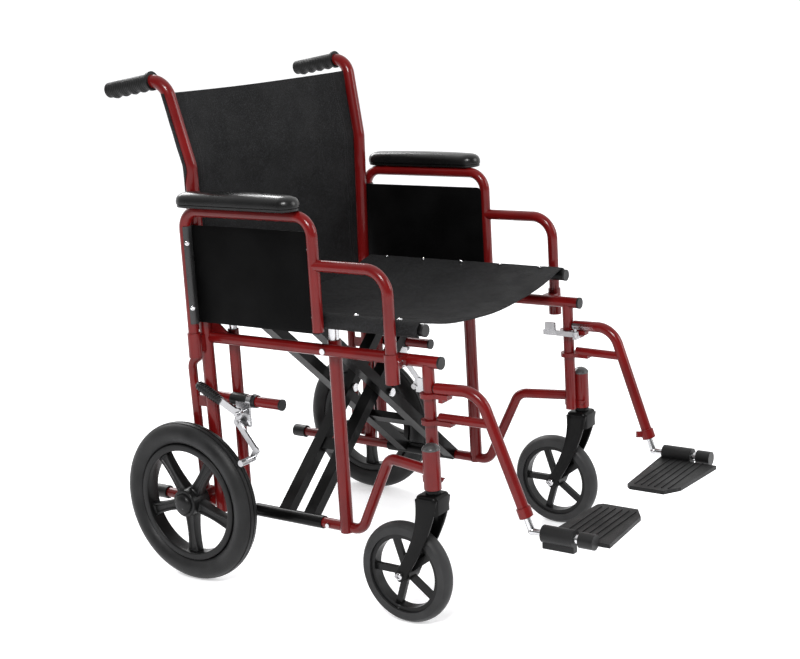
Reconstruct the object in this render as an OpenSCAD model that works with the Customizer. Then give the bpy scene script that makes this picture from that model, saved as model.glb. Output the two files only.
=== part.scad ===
// Folding transport wheelchair: +Z up, front along -Y, user's right along -X.
// Every module below draws the user's left side; right-hand nodes mirror it.

/* [Overall] */
// half distance between the two folding pivots, mm
pivot_x = 216; // [200:1:260]
// height of the lower side rails, mm
lower_z = 128; // [115:1:160]
// height of the upper side rails, mm
rail_z = 462; // [430:1:500]
// height of the seat rails, mm
seat_z = 515; // [500:1:560]
// lengthwise place of the back canes at the seat, mm
cane_y = 239; // [220:1:280]
// height where the back canes kink rearward, mm
kink_z = 779; // [700:1:860]
// height of the push handles, mm
handle_z = 938; // [880:1:1000]

/* [Frame tubes] */
// radius of the back canes, mm
cane_r = 12; // [10:0.5:14]
// radius of the rails and front posts, mm
rail_r = 10.5; // [9:0.5:11.5]
// radius of the lower rails, mm
lower_r = 9.5; // [8:0.5:11]
// wall of every frame tube, mm
wall = 1.6; // [1.2:0.1:2.4]
// radius of the middle guide tubes, mm
mid_guide_r = 12; // [11:0.5:14]
// radius of the rear guide tubes, mm
rear_guide_r = 10.5; // [9.5:0.5:12]
// radius of the middle seat posts, mm
mid_post_r = 9.5; // [8:0.5:10]
// radius of the rear seat posts, mm
rear_post_r = 7.5; // [6:0.5:8]
// clearance between parts that slide, turn or seat, mm
gap = 0.3; // [0.2:0.05:0.5]

/* [Wheels] */
// radius of the rear wheels, mm
rear_r = 152.4; // [140:0.1:165]
// width of the rear tyres, mm
rear_w = 42; // [36:1:50]
// radius of the front casters, mm
caster_r = 90.5; // [80:0.5:102]
// width of the caster tyres, mm
caster_w = 28; // [22:1:36]
// distance the casters trail behind their stems, mm
trail = 63; // [40:1:75]

/* [Armrests] */
// radius of the armrest tubes, mm
arm_r = 10; // [9:0.5:11]
// height of the armrest top tubes, mm
arm_z = 703; // [640:1:740]
// length of the arm pads, mm
pad_l = 266; // [240:1:340]
// width of the arm pads, mm
pad_w = 50; // [40:1:64]

/* [Legrests] */
// radius of the legrest tubes, mm
hang_r = 10; // [9:0.5:12]
// height of the footplate hinge shafts, mm
foot_z = 190; // [160:1:230]
// width of each footplate, mm
foot_w = 180; // [150:1:190]

/* [Hidden] */
$fn = 48;
rail_x = pivot_x + 26;
mid_guide_x = rail_x - rail_r - mid_guide_r - gap;
rear_guide_x = rail_x - rail_r - rear_guide_r - gap;
rail_front = cane_y - 513;
mid_y = cane_y - 277;
rear_guide_y = cane_y - 44;
guide_top = rail_z + rail_r + 3.5;
// closed width between the two folding pivots
closed_w = 142;
cross_top_z = seat_z - 8;
cross_mid_z = (lower_z + cross_top_z) / 2;
cross_h = cross_top_z - lower_z;
cross_l = norm([2 * pivot_x, cross_h]);
cross_tilt = atan2(cross_h, 2 * pivot_x);
fold_deg = acos(closed_w / cross_l) - cross_tilt;
rise = sqrt(cross_l * cross_l - closed_w * closed_w) - cross_h;
post_bottom = guide_top - rise - 40;
cane_foot = [rail_x - 5, cane_y + 4, lower_z - 6];
cane_kink = [rail_x + 12, cane_y - 4, kink_z];
cane_bend = [rail_x + 27, cane_y + 28, handle_z];
cane_end = [rail_x + 30, cane_y + 160, handle_z - 20];
cane_bend_r = 36;
cane_trim = cane_bend_r * tan(acos(unit(cane_bend - cane_kink) * unit(cane_end - cane_bend)) / 2);
grip_l = norm(cane_end - cane_bend) - cane_trim - 1;
panel_t = 2.2;
arm_x = rail_x + 36;
arm_front_y = mid_y - 164;
arm_mid_y = mid_y - 13;
arm_rear_y = cane_y;
arm_open_z = rail_z + 42;
tee_z = arm_z - 83;
pad_x = arm_x + 12;
pad_rear_y = arm_rear_y - 5;
column_y = mid_y - 212;
stem_x = rail_x + 22;
stem_y = column_y - 11.5;
housing_r = 15;
housing_bottom = rail_z - 213;
housing_top = rail_z - 145;
stem_r = 8;
axle_y = cane_y + 37;
wheel_x = rail_x + 41.5;
axle_r = 6;
brake_z = rail_z - 113;
brake_front = cane_y - 162;
clamp_y = cane_y - 83;
lever_pin = [rail_x + 28, cane_y - 83, brake_z - 18];
shoe_pin = [rail_x + 17, cane_y - 74, brake_z - 37];
shoe_bar = [rail_x + 17, cane_y - 103, rear_r + 94.6];
hang_top = rail_z - 45;
hang_rear = [rail_x, column_y - 14, hang_top];
hang_elbow = [rail_x - 2, column_y - 97, hang_top + 2];
hang_low = [rail_x - 11, column_y - 174, rail_z - 254];
hang_dir = (hang_low - hang_elbow) / norm(hang_low - hang_elbow);
foot_x = hang_low.x + hang_dir.x / hang_dir.z * (foot_z - hang_low.z);
foot_y = hang_low.y + hang_dir.y / hang_dir.z * (foot_z - hang_low.z);
foot_post_r = 6;
hang_end = hang_low - hang_dir * 5;
lane_a = [mid_y + 88, mid_y + 146];
lane_b = [mid_y + 58, mid_y + 176];
sleeve_y = [mid_y + 54, mid_y + 214];
lower_knee = [pivot_x + 6, mid_y - 106, rail_z - 188];
back_low = seat_z - 38;
back_high = handle_z - 27;
y_front = foot_y - 134;
y_rear = max(cane_y + 191, axle_y + rear_r, cane_end.y + 8);
y_mid = (y_front + y_rear) / 2;

function unit(v) = v / norm(v);
function side_of(d) = abs(d.z) > 0.9 ? [1, 0, 0] : [0, 0, 1];
function along(p, q, t) = p + (q - p) * t;
function at_z(p, q, z) = along(p, q, (z - p.z) / (q.z - p.z));

// puts children's own X, Y and Z axes on three given unit vectors
module place(o, x, y, z) {
  multmatrix([
    [x.x, y.x, z.x, o.x],
    [x.y, y.y, z.y, o.y],
    [x.z, y.z, z.z, o.z],
    [0, 0, 0, 1]]) children();
}

// draws children with their Z axis running from p towards q
module aim(p, q) {
  d = unit(q - p);
  x = unit(cross(side_of(d), d));
  place(p, x, cross(d, x), d) children();
}

module rod(p, q, r) {
  aim(p, q) cylinder(h = norm(q - p), r = r);
}

module tube(p, q, r, r_in) {
  aim(p, q) difference() {
    cylinder(h = norm(q - p), r = r);
    translate([0, 0, -1]) cylinder(h = norm(q - p) + 2, r = r_in);
  }
}

module ring_face(r, r_in) {
  difference() {
    circle(r);
    if (r_in > 0) circle(r_in);
  }
}

function turn_of(a, b, c) = acos(unit(b - a) * unit(c - b));
function trim_of(pts, i, bend) =
  (i == 0 || i == len(pts) - 1) ? 0
  : bend * tan(turn_of(pts[i - 1], pts[i], pts[i + 1]) / 2);

// a solid bar bent through the given points, with a faint ring at each end of a bend
module bent(pts, bend, r) {
  last = len(pts) - 1;
  seam = 0.1;
  for (i = [0 : last - 1]) {
    d = unit(pts[i + 1] - pts[i]);
    p = pts[i] + d * (trim_of(pts, i, bend) + (i > 0 ? seam : 0));
    q = pts[i + 1] - d * (trim_of(pts, i + 1, bend) + (i < last - 1 ? seam : 0));
    rod(p, q, r);
    if (i > 0) rod(p - d * 0.6, p + d * 0.4, r + 0.05);
    if (i < last - 1) rod(q - d * 0.4, q + d * 0.6, r + 0.05);
  }
  for (i = [1 : 1 : last - 1]) {
    d1 = unit(pts[i] - pts[i - 1]);
    d2 = unit(pts[i + 1] - pts[i]);
    n = unit(d2 - d1 * (d1 * d2));
    start = pts[i] - d1 * trim_of(pts, i, bend);
    place(start + n * bend, -n, d1, cross(-n, d1))
      rotate_extrude(angle = turn_of(pts[i - 1], pts[i], pts[i + 1]))
        translate([bend, 0]) circle(r);
  }
}

// the bore of a bent tube's end stretch, stopping short of its bend
module end_bore(pts, bend, r_in) {
  d = unit(pts[1] - pts[0]);
  rod(pts[0] - d, pts[1] - d * (trim_of(pts, 1, bend) + 2), r_in);
}

function reversed(pts) = [for (i = [len(pts) - 1 : -1 : 0]) pts[i]];

module cyl_y(x, z, y0, y1, r) {
  translate([x, y1, z]) rotate([90, 0, 0]) cylinder(h = y1 - y0, r = r);
}

module cyl_x(y, z, x0, x1, r) {
  translate([x0, y, z]) rotate([0, 90, 0]) cylinder(h = x1 - x0, r = r);
}

module cyl_z(x, y, z0, z1, r) {
  translate([x, y, z0]) cylinder(h = z1 - z0, r = r);
}

module box(x0, x1, y0, y1, z0, z1) {
  translate([x0, y0, z0]) cube([x1 - x0, y1 - y0, z1 - z0]);
}

// room kept free round the straight lower part of a back cane
module cane_room() {
  rod(cane_foot - unit(cane_kink - cane_foot) * 30, cane_kink, cane_r + gap);
}

module rail_room() {
  cyl_y(rail_x, rail_z, rail_front - 20, cane_y + 20, rail_r + gap);
}

/* ---- side frame ---- */
module back_cane() {
  path = [cane_foot, cane_kink, cane_bend, cane_end];
  color("firebrick") difference() {
    bent(path, cane_bend_r, cane_r);
    end_bore(path, cane_bend_r, cane_r - wall);
    end_bore(reversed(path), cane_bend_r, cane_r - wall);
    axle_room();
  }
}

module axle_room() {
  cyl_x(axle_y, rear_r, rail_x - 40, rail_x + 20, axle_r + gap);
}

module grip() {
  d = unit(cane_end - cane_bend);
  start = cane_end - d * grip_l;
  color("dimgray") aim(start, cane_end) difference() {
    union() {
      cylinder(h = 5, r = cane_r + 5.5);
      cylinder(h = grip_l, r = cane_r + 2.5);
      intersection() {
        cylinder(h = grip_l + 12, r = cane_r + 2.5);
        translate([0, 0, grip_l - 16]) sphere(cane_r + 12);
      }
    }
    translate([0, 0, -1]) cylinder(h = grip_l + 1 + gap, r = cane_r + gap);
  }
}

module upper_rail() {
  color("firebrick") difference() {
    tube([rail_x, rail_front, rail_z], [rail_x, cane_y - 1, rail_z], rail_r, rail_r - wall);
    cane_room();
  }
}

module guide_tubes() {
  color("firebrick") {
    tube([mid_guide_x, mid_y, lower_z - 8], [mid_guide_x, mid_y, guide_top],
      mid_guide_r, mid_post_r + gap);
    tube([rear_guide_x, rear_guide_y, lower_z + lower_r + gap],
      [rear_guide_x, rear_guide_y, guide_top], rear_guide_r, rear_post_r + gap);
  }
}

module front_column() {
  color("firebrick") difference() {
    union() {
      cyl_z(rail_x, column_y, housing_bottom, rail_z - 4, rail_r);
      cyl_z(stem_x, stem_y, housing_bottom, housing_top, housing_r);
    }
    cyl_z(rail_x, column_y, housing_bottom - 1, rail_z, rail_r - wall);
    cyl_z(stem_x, stem_y, housing_bottom - 1, housing_top + 1, stem_r + gap);
    rail_room();
  }
}

module column_room() {
  cyl_z(rail_x, column_y, housing_bottom - 60, rail_z, rail_r + gap);
  cyl_z(stem_x, stem_y, housing_bottom - 60, housing_top + 20, housing_r + gap);
}

module lower_rail() {
  tail = [pivot_x, cane_y + 187, lower_z];
  nose = [pivot_x, mid_y - 33, lower_z];
  knee = lower_knee;
  color("firebrick") difference() {
    union() {
      tube(tail, [pivot_x, mid_y + 6, lower_z], lower_r, lower_r - wall);
      bent([[pivot_x, mid_y - 6, lower_z], nose, knee, [rail_x + 7, column_y + 3, knee.z]],
        26, lower_r);
    }
    cyl_z(mid_guide_x, mid_y, 0, rail_z, mid_guide_r + gap);
    column_room();
  }
}

module wheel_carrier() {
  top = at_z(cane_foot, cane_kink, rail_z - 22);
  bottom = at_z(cane_foot, cane_kink, lower_z + 12);
  color("firebrick") difference() {
    union() {
      bent([top, [top.x, cane_y + 42, rail_z - 52], [bottom.x + 2, cane_y + 41, rear_r - 12],
        bottom], 22, 8.5);
      cyl_x(axle_y, rear_r, rail_x - 14, rail_x + 12, 13);
      box(rail_x - 1, rail_x + 4, cane_y + 2, cane_y + 42, brake_z - 22, brake_z - 2);
    }
    cane_room();
    axle_room();
  }
  color("firebrick") difference() {
    tube([rail_x - 1.5, brake_front, brake_z], [rail_x - 1.5, cane_y, brake_z],
      rail_r - 0.7, rail_r - 0.7 - wall);
    cane_room();
    cyl_z(rear_guide_x, rear_guide_y, 0, rail_z, rear_guide_r + gap);
  }
}

module frame_brackets() {
  color("firebrick") {
    difference() {
      union() {
        cyl_z(arm_x, arm_rear_y, rail_z - 30, rail_z + 15, arm_r + 2.3);
        box(rail_x + 10, arm_x, arm_rear_y - 7, arm_rear_y + 7, rail_z - 22, rail_z + 8);
      }
      cyl_z(arm_x, arm_rear_y, rail_z - 50, rail_z + 50, arm_r + gap);
      cane_room();
    }
    difference() {
      union() {
        cyl_z(arm_x, arm_front_y, rail_z - 34, rail_z + 17, arm_r + 2.3);
        box(rail_x + 4, arm_x, arm_front_y - 11, arm_front_y + 11, rail_z - 9, rail_z + 9);
      }
      cyl_z(arm_x, arm_front_y, rail_z - 50, rail_z + 50, arm_r + gap);
      rail_room();
    }
    difference() {
      translate([rail_x + 1.5, cane_y, rail_z]) rotate([90, 0, -90])
        linear_extrude(4) polygon([[0, 5], [0, 42], [12, 42], [54, 8], [54, 5]]);
      cane_room();
      rail_room();
    }
    difference() {
      translate([stem_x - 12, column_y + 3, housing_bottom + 4]) rotate([90, 0, -90])
        linear_extrude(4) polygon([[-14, 0], [-14, 12], [30, 12], [24, 4]]);
      column_room();
      lower_front_room();
    }
  }
}

module lower_front_room() {
  knee = lower_knee;
  rod(knee, [rail_x + 7, column_y + 3, knee.z], lower_r + gap);
}

module plug(x, z, y, r) {
  cyl_y(x, z, y - 4, y - gap, r);
  cyl_y(x, z, y - gap, y + 14, r - wall - 0.9);
}

module frame_plugs() {
  color("dimgray") {
    plug(rail_x, rail_z, rail_front, rail_r + 0.6);
    plug(rail_x - 1.5, brake_z, brake_front, rail_r);
    difference() {
      cyl_y(pivot_x, lower_z, cane_y + 161, cane_y + 191, lower_r + 3.5);
      cyl_y(pivot_x, lower_z, cane_y + 160, cane_y + 187 + gap, lower_r + gap);
    }
    difference() {
      intersection() {
        translate([stem_x, stem_y, housing_top - 6]) sphere(housing_r + 3);
        cyl_z(stem_x, stem_y, housing_top + gap, housing_top + 20, housing_r + 0.5);
      }
      cyl_z(rail_x, column_y, housing_top - 20, housing_top + 40, rail_r + gap);
    }
  }
}

module frame_bolts() {
  color("silver") {
    cyl_x(mid_y, rail_z, rail_x + rail_r + gap, rail_x + rail_r + 4, 5.5);
    cyl_y(arm_x - 13, rail_z, arm_front_y - 17, arm_front_y - 11 - gap, 5.5);
    cyl_x(mid_y + 38, lower_z, pivot_x + lower_r + gap, pivot_x + lower_r + 4, 4);
    cyl_x(axle_y, rear_r, rail_x - 24, wheel_x + 21.5, axle_r);
    cyl_x(axle_y, rear_r, rail_x - 24, rail_x - 15, 10);
  }
}

/* ---- seat rails ---- */
module seat_rail() {
  color("dimgray") {
    difference() {
      union() {
        cyl_y(rail_x, seat_z, rail_front + 28, cane_y - 24, rail_r);
        box(mid_guide_x, rail_x, mid_y - 7, mid_y + 7, seat_z - 8, seat_z);
        box(rear_guide_x, rail_x, rear_guide_y - 6, rear_guide_y + 6, seat_z - 8, seat_z);
      }
      cyl_y(rail_x, seat_z, rail_front, cane_y, rail_r - wall);
      cyl_z(mid_guide_x, mid_y, seat_z - 30, seat_z + 30, mid_post_r);
      cyl_z(rear_guide_x, rear_guide_y, seat_z - 30, seat_z + 30, rear_post_r);
    }
    cyl_y(rail_x, seat_z, rail_front + 24, rail_front + 28 - gap, rail_r + 0.6);
    cyl_y(rail_x, seat_z, rail_front + 28 - gap, rail_front + 42, rail_r - wall - 0.9);
  }
  color("silver") union() {
    cyl_z(mid_guide_x, mid_y, post_bottom, seat_z - 1, mid_post_r - 0.02);
    cyl_z(rear_guide_x, rear_guide_y, post_bottom, seat_z - 1, rear_post_r - 0.02);
    cyl_y(pivot_x, cross_top_z, mid_y, rear_guide_y, 6);
  }
}

/* ---- cross brace, drawn rising from the right lower rail ---- */
module cross_member(lanes) {
  difference() {
    union() {
      for (y = lanes) {
        translate([-pivot_x, y - 12, lower_z]) rotate([0, -cross_tilt, 0])
          translate([0, 0, -10]) cube([cross_l, 24, 20]);
      }
      translate([-pivot_x, lanes[0], lower_z]) rotate([0, -cross_tilt, 0])
        translate([cross_l * 0.25, 0, -7]) cube([24, lanes[1] - lanes[0], 14]);
      cyl_y(-pivot_x, lower_z, sleeve_y[0], sleeve_y[1], lower_r + 2.3);
      cyl_y(pivot_x, cross_top_z, sleeve_y[0], sleeve_y[1], 9.5);
    }
    cyl_y(-pivot_x, lower_z, sleeve_y[0] - 60, sleeve_y[1] + 60, lower_r + gap);
    cyl_y(pivot_x, cross_top_z, sleeve_y[0] - 60, sleeve_y[1] + 60, 6 + gap);
    cyl_y(0, cross_mid_z, mid_y, rear_guide_y, 5 + gap);
  }
}

module cross_a() {
  color("dimgray") cross_member(lane_a);
}

module cross_b() {
  color("dimgray") mirror([1, 0, 0]) cross_member(lane_b);
}

module cross_bolts() {
  z = cross_mid_z;
  color("silver") {
    cyl_y(0, z, lane_b[0] - 16, lane_a[0] + 16, 5);
    cyl_y(0, z, lane_b[0] - 18, lane_b[0] - 12 - gap, 8);
    cyl_y(0, z, lane_a[1] - 16, lane_b[1] + 16, 5);
    cyl_y(0, z, lane_a[1] - 18, lane_a[1] - 12 - gap, 8);
  }
}

/* ---- slings ---- */
sag = 34;
sling_t = 3.5;
sling_steps = 24;
sling_top = rail_r + gap + sling_t;
function sag_z(x) = -sag * (1 - pow(x / rail_x, 2));
function sling_line(off) =
  [for (i = [0 : sling_steps]) let (x = -rail_x + 2 * rail_x * i / sling_steps) [x, sag_z(x) + off]];

module seat_sling() {
  low = sling_line(rail_r + gap);
  high = sling_line(sling_top);
  n = len(high);
  color("dimgray") translate([0, cane_y - 24, seat_z]) rotate([90, 0, 0])
    linear_extrude(cane_y - 24 - rail_front - 34) difference() {
      union() {
        polygon([for (i = [0 : 2 * n - 1]) i < n ? low[i] : high[2 * n - 1 - i]]);
        for (s = [-1, 1]) translate([s * rail_x, 0]) intersection() {
          circle(sling_top);
          translate([s > 0 ? 0 : -20, -6]) square([20, 40]);
        }
      }
      for (s = [-1, 1]) translate([s * rail_x, 0]) circle(rail_r + gap);
    }
}

module back_sling() {
  low = at_z(cane_foot, cane_kink, back_low);
  mid = cane_kink;
  high = at_z(cane_kink, cane_bend, back_high);
  sleeve_top = cane_bend - unit(cane_bend - cane_kink) * (cane_trim + 1);
  sleeve_r = cane_r + 1.5;
  edge = sleeve_r + gap;
  t = 2;
  color("dimgray") {
    intersection() {
      rotate([90, 0, 90]) linear_extrude(2 * rail_x + 200, center = true) polygon([
        [low.y - t, low.z], [mid.y - t, mid.z], [high.y - t, high.z],
        [high.y + t, high.z], [mid.y + t, mid.z], [low.y + t, low.z]]);
      translate([0, cane_y + 200, 0]) rotate([90, 0, 0]) linear_extrude(400) polygon([
        [edge - low.x, low.z - 1], [low.x - edge, low.z - 1], [mid.x - edge, mid.z],
        [high.x - edge, high.z + 1], [edge - high.x, high.z + 1], [edge - mid.x, mid.z]]);
    }
    for (s = [0, 1]) mirror([s, 0, 0]) {
      tube(at_z(cane_foot, cane_kink, kink_z - 40), at_z(cane_foot, cane_kink, kink_z - 14),
        sleeve_r, cane_r + gap);
      tube(at_z(cane_kink, cane_bend, kink_z + 14), sleeve_top, sleeve_r, cane_r + gap);
    }
  }
}

/* ---- armrests ---- */
module arm_frame() {
  front_corner = [arm_x, arm_front_y, tee_z];
  color("firebrick") {
    difference() {
      union() {
        bent([[arm_x, arm_rear_y, rail_z - 26], [arm_x, arm_rear_y, arm_z],
          [arm_x, arm_mid_y, arm_z], [arm_x, arm_mid_y, arm_open_z]], 34, arm_r);
        bent([[arm_x, arm_mid_y, tee_z], front_corner,
          [arm_x, arm_front_y, rail_z - 30]], 42, arm_r);
      }
      cyl_z(arm_x, arm_mid_y, arm_open_z - 1, arm_z - 34, arm_r - wall);
    }
  }
}

module pad_outline(grow) {
  for (y = [pad_rear_y - pad_w / 2, pad_rear_y - pad_l + pad_w / 2])
    translate([pad_x, y]) circle(pad_w / 2 + grow);
  translate([pad_x - pad_w / 2 - grow, pad_rear_y - pad_l + pad_w / 2])
    square([pad_w + 2 * grow, pad_l - pad_w]);
}

module arm_pad() {
  color("dimgray") {
    translate([0, 0, arm_z + arm_r + gap]) linear_extrude(8) pad_outline(-2);
    intersection() {
      translate([0, 0, arm_z + arm_r + 8]) linear_extrude(30) pad_outline(0);
      cyl_y(pad_x, arm_z + arm_r + 25 - 55, arm_rear_y - 400, arm_rear_y + 60, 55);
    }
  }
}

module skirt() {
  low = rail_z + 34;
  high = arm_z - 28;
  x = arm_x - arm_r - panel_t - gap;
  color("dimgray") {
    box(x, x + panel_t, arm_mid_y + 2, arm_rear_y + 13, low, high);
    difference() {
      cyl_z(arm_x, arm_rear_y, low, high, arm_r + panel_t + gap);
      cyl_z(arm_x, arm_rear_y, low - 1, high + 1, arm_r + gap);
      box(arm_x - 30, x + panel_t, arm_rear_y - 30, arm_rear_y + 30, low - 1, high + 1);
      box(arm_x - 30, arm_x + 30, arm_rear_y - 30, arm_rear_y, low - 1, high + 1);
    }
  }
}

/* ---- brakes ---- */
module brake_clamp() {
  color("silver") {
    difference() {
      union() {
        cyl_y(rail_x - 1.5, brake_z, clamp_y - 24, clamp_y + 34, rail_r + 1.4);
        cyl_y(rail_x - 1.5, brake_z, clamp_y - 16, clamp_y - 6, rail_r + 3);
        box(rail_x + 6, rail_x + 11, clamp_y - 13, clamp_y + 18, brake_z - 46, brake_z);
      }
      cyl_y(rail_x - 1.5, brake_z, brake_front, cane_y, rail_r - 0.7 + gap);
      cyl_z(rear_guide_x, rear_guide_y, 0, rail_z, rear_guide_r + 1);
    }
    rod([rail_x + 11, lever_pin.y, lever_pin.z], lever_pin + [7, 0, 0], 4);
    rod([rail_x + 11, shoe_pin.y, shoe_pin.z], shoe_pin + [7, 0, 0], 3.5);
  }
}

module lever_frame() {
  translate(lever_pin) rotate([26, 0, 0]) children();
}

module brake_lever() {
  color("silver") difference() {
    union() {
      lever_frame() cyl_x(0, 0, -5, 0, 10);
      lever_frame() box(-5, 0, 0, 62, -7, 7);
    }
    rod(lever_pin - [20, 0, 0], lever_pin + [20, 0, 0], 4 + gap);
  }
}

module brake_grip() {
  color("dimgray") lever_frame() difference() {
    union() {
      cyl_y(-2.5, 0, 48, 100, 9);
      translate([-2.5, 100, 0]) sphere(9);
    }
    box(-5 - gap, gap, 20, 62 + gap, -7 - gap, 7 + gap);
  }
}

module brake_shoe() {
  x0 = shoe_pin.x + 1;
  elbow = [x0, shoe_bar.y - 10, shoe_bar.z + 16];
  color("silver") difference() {
    union() {
      cyl_x(shoe_pin.y, shoe_pin.z, x0, x0 + 4, 8);
      slat([x0, shoe_pin.y, shoe_pin.z], elbow, 4, 11);
      slat(elbow, [x0, shoe_bar.y, shoe_bar.z], 4, 11);
      cyl_x(elbow.y, elbow.z, x0, x0 + 4, 7);
      cyl_x(shoe_bar.y, shoe_bar.z, x0 - 2, wheel_x + 12, 6);
    }
    cyl_x(shoe_pin.y, shoe_pin.z, x0 - 20, x0 + 20, 3.5 + gap);
  }
}

// a flat bar in a plane of constant x, from p to q
module slat(p, q, t, w) {
  d = unit(q - p);
  place(p, [1, 0, 0], d, cross([1, 0, 0], d)) translate([0, 0, -w / 2])
    cube([t, norm(q - p), w]);
}

/* ---- rear wheels ---- */
rear_bed = rear_r - rear_w + 2.5;

module rear_tyre() {
  color("dimgray") translate([wheel_x, axle_y, rear_r]) rotate([0, 90, 0])
    rotate_extrude() difference() {
      translate([rear_r - rear_w / 2, 0]) circle(rear_w / 2);
      translate([0, -rear_w]) square([rear_bed, 2 * rear_w]);
      for (g = [-1, 0, 1]) translate([rear_r - 2.6, g * 8 - 1.2]) square([6, 2.4]);
    }
}

module spoked(r_bed, r_in, hub_r, hub_w, bore, rim_w, spoke_w, spoke_t) {
  difference() {
    union() {
      rotate_extrude() translate([r_in, -rim_w / 2]) square([r_bed - r_in, rim_w]);
      cylinder(h = hub_w, r = hub_r, center = true);
      for (i = [0 : 4]) rotate(i * 72 + 18)
        translate([hub_r - 2, -spoke_w / 2, -spoke_t / 2])
          cube([r_in - hub_r + 4, spoke_w, spoke_t]);
    }
    cylinder(h = hub_w + 60, r = bore, center = true);
  }
}

module rear_rim() {
  color("dimgray") translate([wheel_x, axle_y, rear_r]) rotate([0, 90, 0])
    spoked(rear_bed - gap, rear_bed - 13, 24, 44, axle_r + gap, 30, 26, 15);
  color("dimgray") translate([wheel_x + 22 + gap, axle_y, rear_r]) rotate([0, 90, 0]) intersection() {
    translate([0, 0, -18]) sphere(28);
    cylinder(h = 20, r = 20);
  }
}

/* ---- casters ---- */
wheel_y = stem_y + trail;
caster_bed = caster_r - 20;
crown_z = housing_bottom - 8;

function fork_mid(t) = stem_y + 2 + (trail - 2) * pow(t, 2.2);
function fork_half(t) = 21 - 8 * t;
function fork_z(t) = crown_z - (crown_z - caster_r) * t;
fork_steps = 10;

module fork_arm() {
  front = [for (i = [0 : fork_steps]) let (t = i / fork_steps) [fork_mid(t) - fork_half(t), fork_z(t)]];
  back = [for (i = [fork_steps : -1 : 0]) let (t = i / fork_steps) [fork_mid(t) + fork_half(t), fork_z(t)]];
  rotate([90, 0, 90]) linear_extrude(6) difference() {
    union() {
      polygon(concat(front, back));
      translate([wheel_y, caster_r]) circle(13);
    }
    translate([wheel_y - 3, caster_r + 26]) circle(3.5);
  }
}

module caster_fork() {
  half = caster_w / 2 + 3.5;
  color("dimgray") {
    translate([stem_x + half, 0, 0]) fork_arm();
    translate([stem_x - half - 6, 0, 0]) fork_arm();
    difference() {
      box(stem_x - half, stem_x + half, stem_y - 19, stem_y + 23, crown_z - 12, crown_z);
      cyl_z(stem_x, stem_y, 0, rail_z, 6);
    }
  }
  color("silver") {
    cyl_z(stem_x, stem_y, crown_z + gap, housing_bottom - gap, housing_r - 1);
    cyl_z(stem_x, stem_y, housing_bottom - gap, housing_top - 2, stem_r);
    cyl_x(wheel_y, caster_r, stem_x - half + 0.1, stem_x + half - 0.1, 4);
    cyl_x(wheel_y, caster_r, stem_x + half + 6 + gap, stem_x + half + 12, 7);
    cyl_x(wheel_y, caster_r, stem_x - half - 12, stem_x - half - 6 - gap, 7);
  }
}

module caster_tyre() {
  color("gray") translate([stem_x, wheel_y, caster_r]) rotate([0, 90, 0])
    rotate_extrude() intersection() {
      translate([caster_r - caster_w * 0.62, 0]) circle(caster_w * 0.62);
      translate([caster_bed, -caster_w / 2]) square([caster_r, caster_w]);
    }
}

module caster_rim() {
  color("dimgray") translate([stem_x, wheel_y, caster_r]) rotate([0, 90, 0])
    spoked(caster_bed - gap, caster_bed - 8, 15, caster_w + 6, 4 + gap, 20, 12, 8);
}

/* ---- legrests ---- */
module hinge_plate(z0, z1, reach) {
  cyl_z(rail_x, column_y, z0, z1, rail_r + 6);
  box(rail_x - 8, rail_x + 8, column_y - reach, column_y - 4, z0, z1);
}

module hanger() {
  color("firebrick") difference() {
    union() {
      bent([hang_rear, hang_elbow, hang_end], 45, hang_r);
      rod([rail_x - 1, column_y - 18, hang_top - 50], along(hang_elbow, hang_low, 0.25), 8);
      hinge_plate(hang_top - 16, hang_top - 8, 40);
      hinge_plate(hang_top - 62, hang_top - 54, 44);
      box(rail_x - 8, rail_x + 8, column_y - 30, column_y - 22, hang_top - 22, hang_top - 15);
      rod(hang_end - hang_dir * 18, hang_end - hang_dir, hang_r + 2.5);
      rod(hang_end - hang_dir * 8 + [-14, 18, 2], hang_end - hang_dir * 8, 6);
    }
    cyl_z(rail_x, column_y, 0, rail_z, rail_r + gap);
    rod(hang_low - hang_dir * 130, hang_low + hang_dir * 30, foot_post_r + gap);
  }
  color("dimgray") cyl_y(rail_x, hang_top, column_y - 14 + gap, column_y - 11.2, hang_r - 2.3);
  color("silver") {
    cyl_z(rail_x - 20, column_y - 26, hang_top - 20, hang_top - 1, 3);
    box(rail_x - 24, rail_x - 8 - gap, column_y - 30, column_y - 22,
      hang_top - 22, hang_top - 17 - gap);
  }
}

module release_lever() {
  color("silver") difference() {
    union() {
      cyl_z(rail_x - 20, column_y - 26, hang_top - 17, hang_top - 7, 6.5);
      box(rail_x - 25, rail_x - 21, column_y - 26, column_y + 42, hang_top - 17, hang_top - 7);
      box(rail_x - 25, rail_x - 21, column_y + 16, column_y + 38, hang_top - 8, hang_top + 8);
    }
    cyl_z(rail_x - 20, column_y - 26, 0, rail_z, 3 + gap);
  }
}

module foot_post() {
  top = hang_low - hang_dir * 110;
  heel = [foot_x, foot_y, foot_z];
  color("silver") union() {
    rod(top, heel, foot_post_r);
    translate(heel) sphere(7);
    cyl_y(foot_x, foot_z, foot_y - 92, foot_y, 5.5);
    cyl_y(foot_x, foot_z, foot_y - 89, foot_y - 82, 8);
  }
  color("dimgray") difference() {
    cyl_y(foot_x, foot_z, foot_y - 117, foot_y - 90, 13);
    cyl_y(foot_x, foot_z, foot_y - 92 - gap, foot_y, 5.5 + gap);
  }
}

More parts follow.
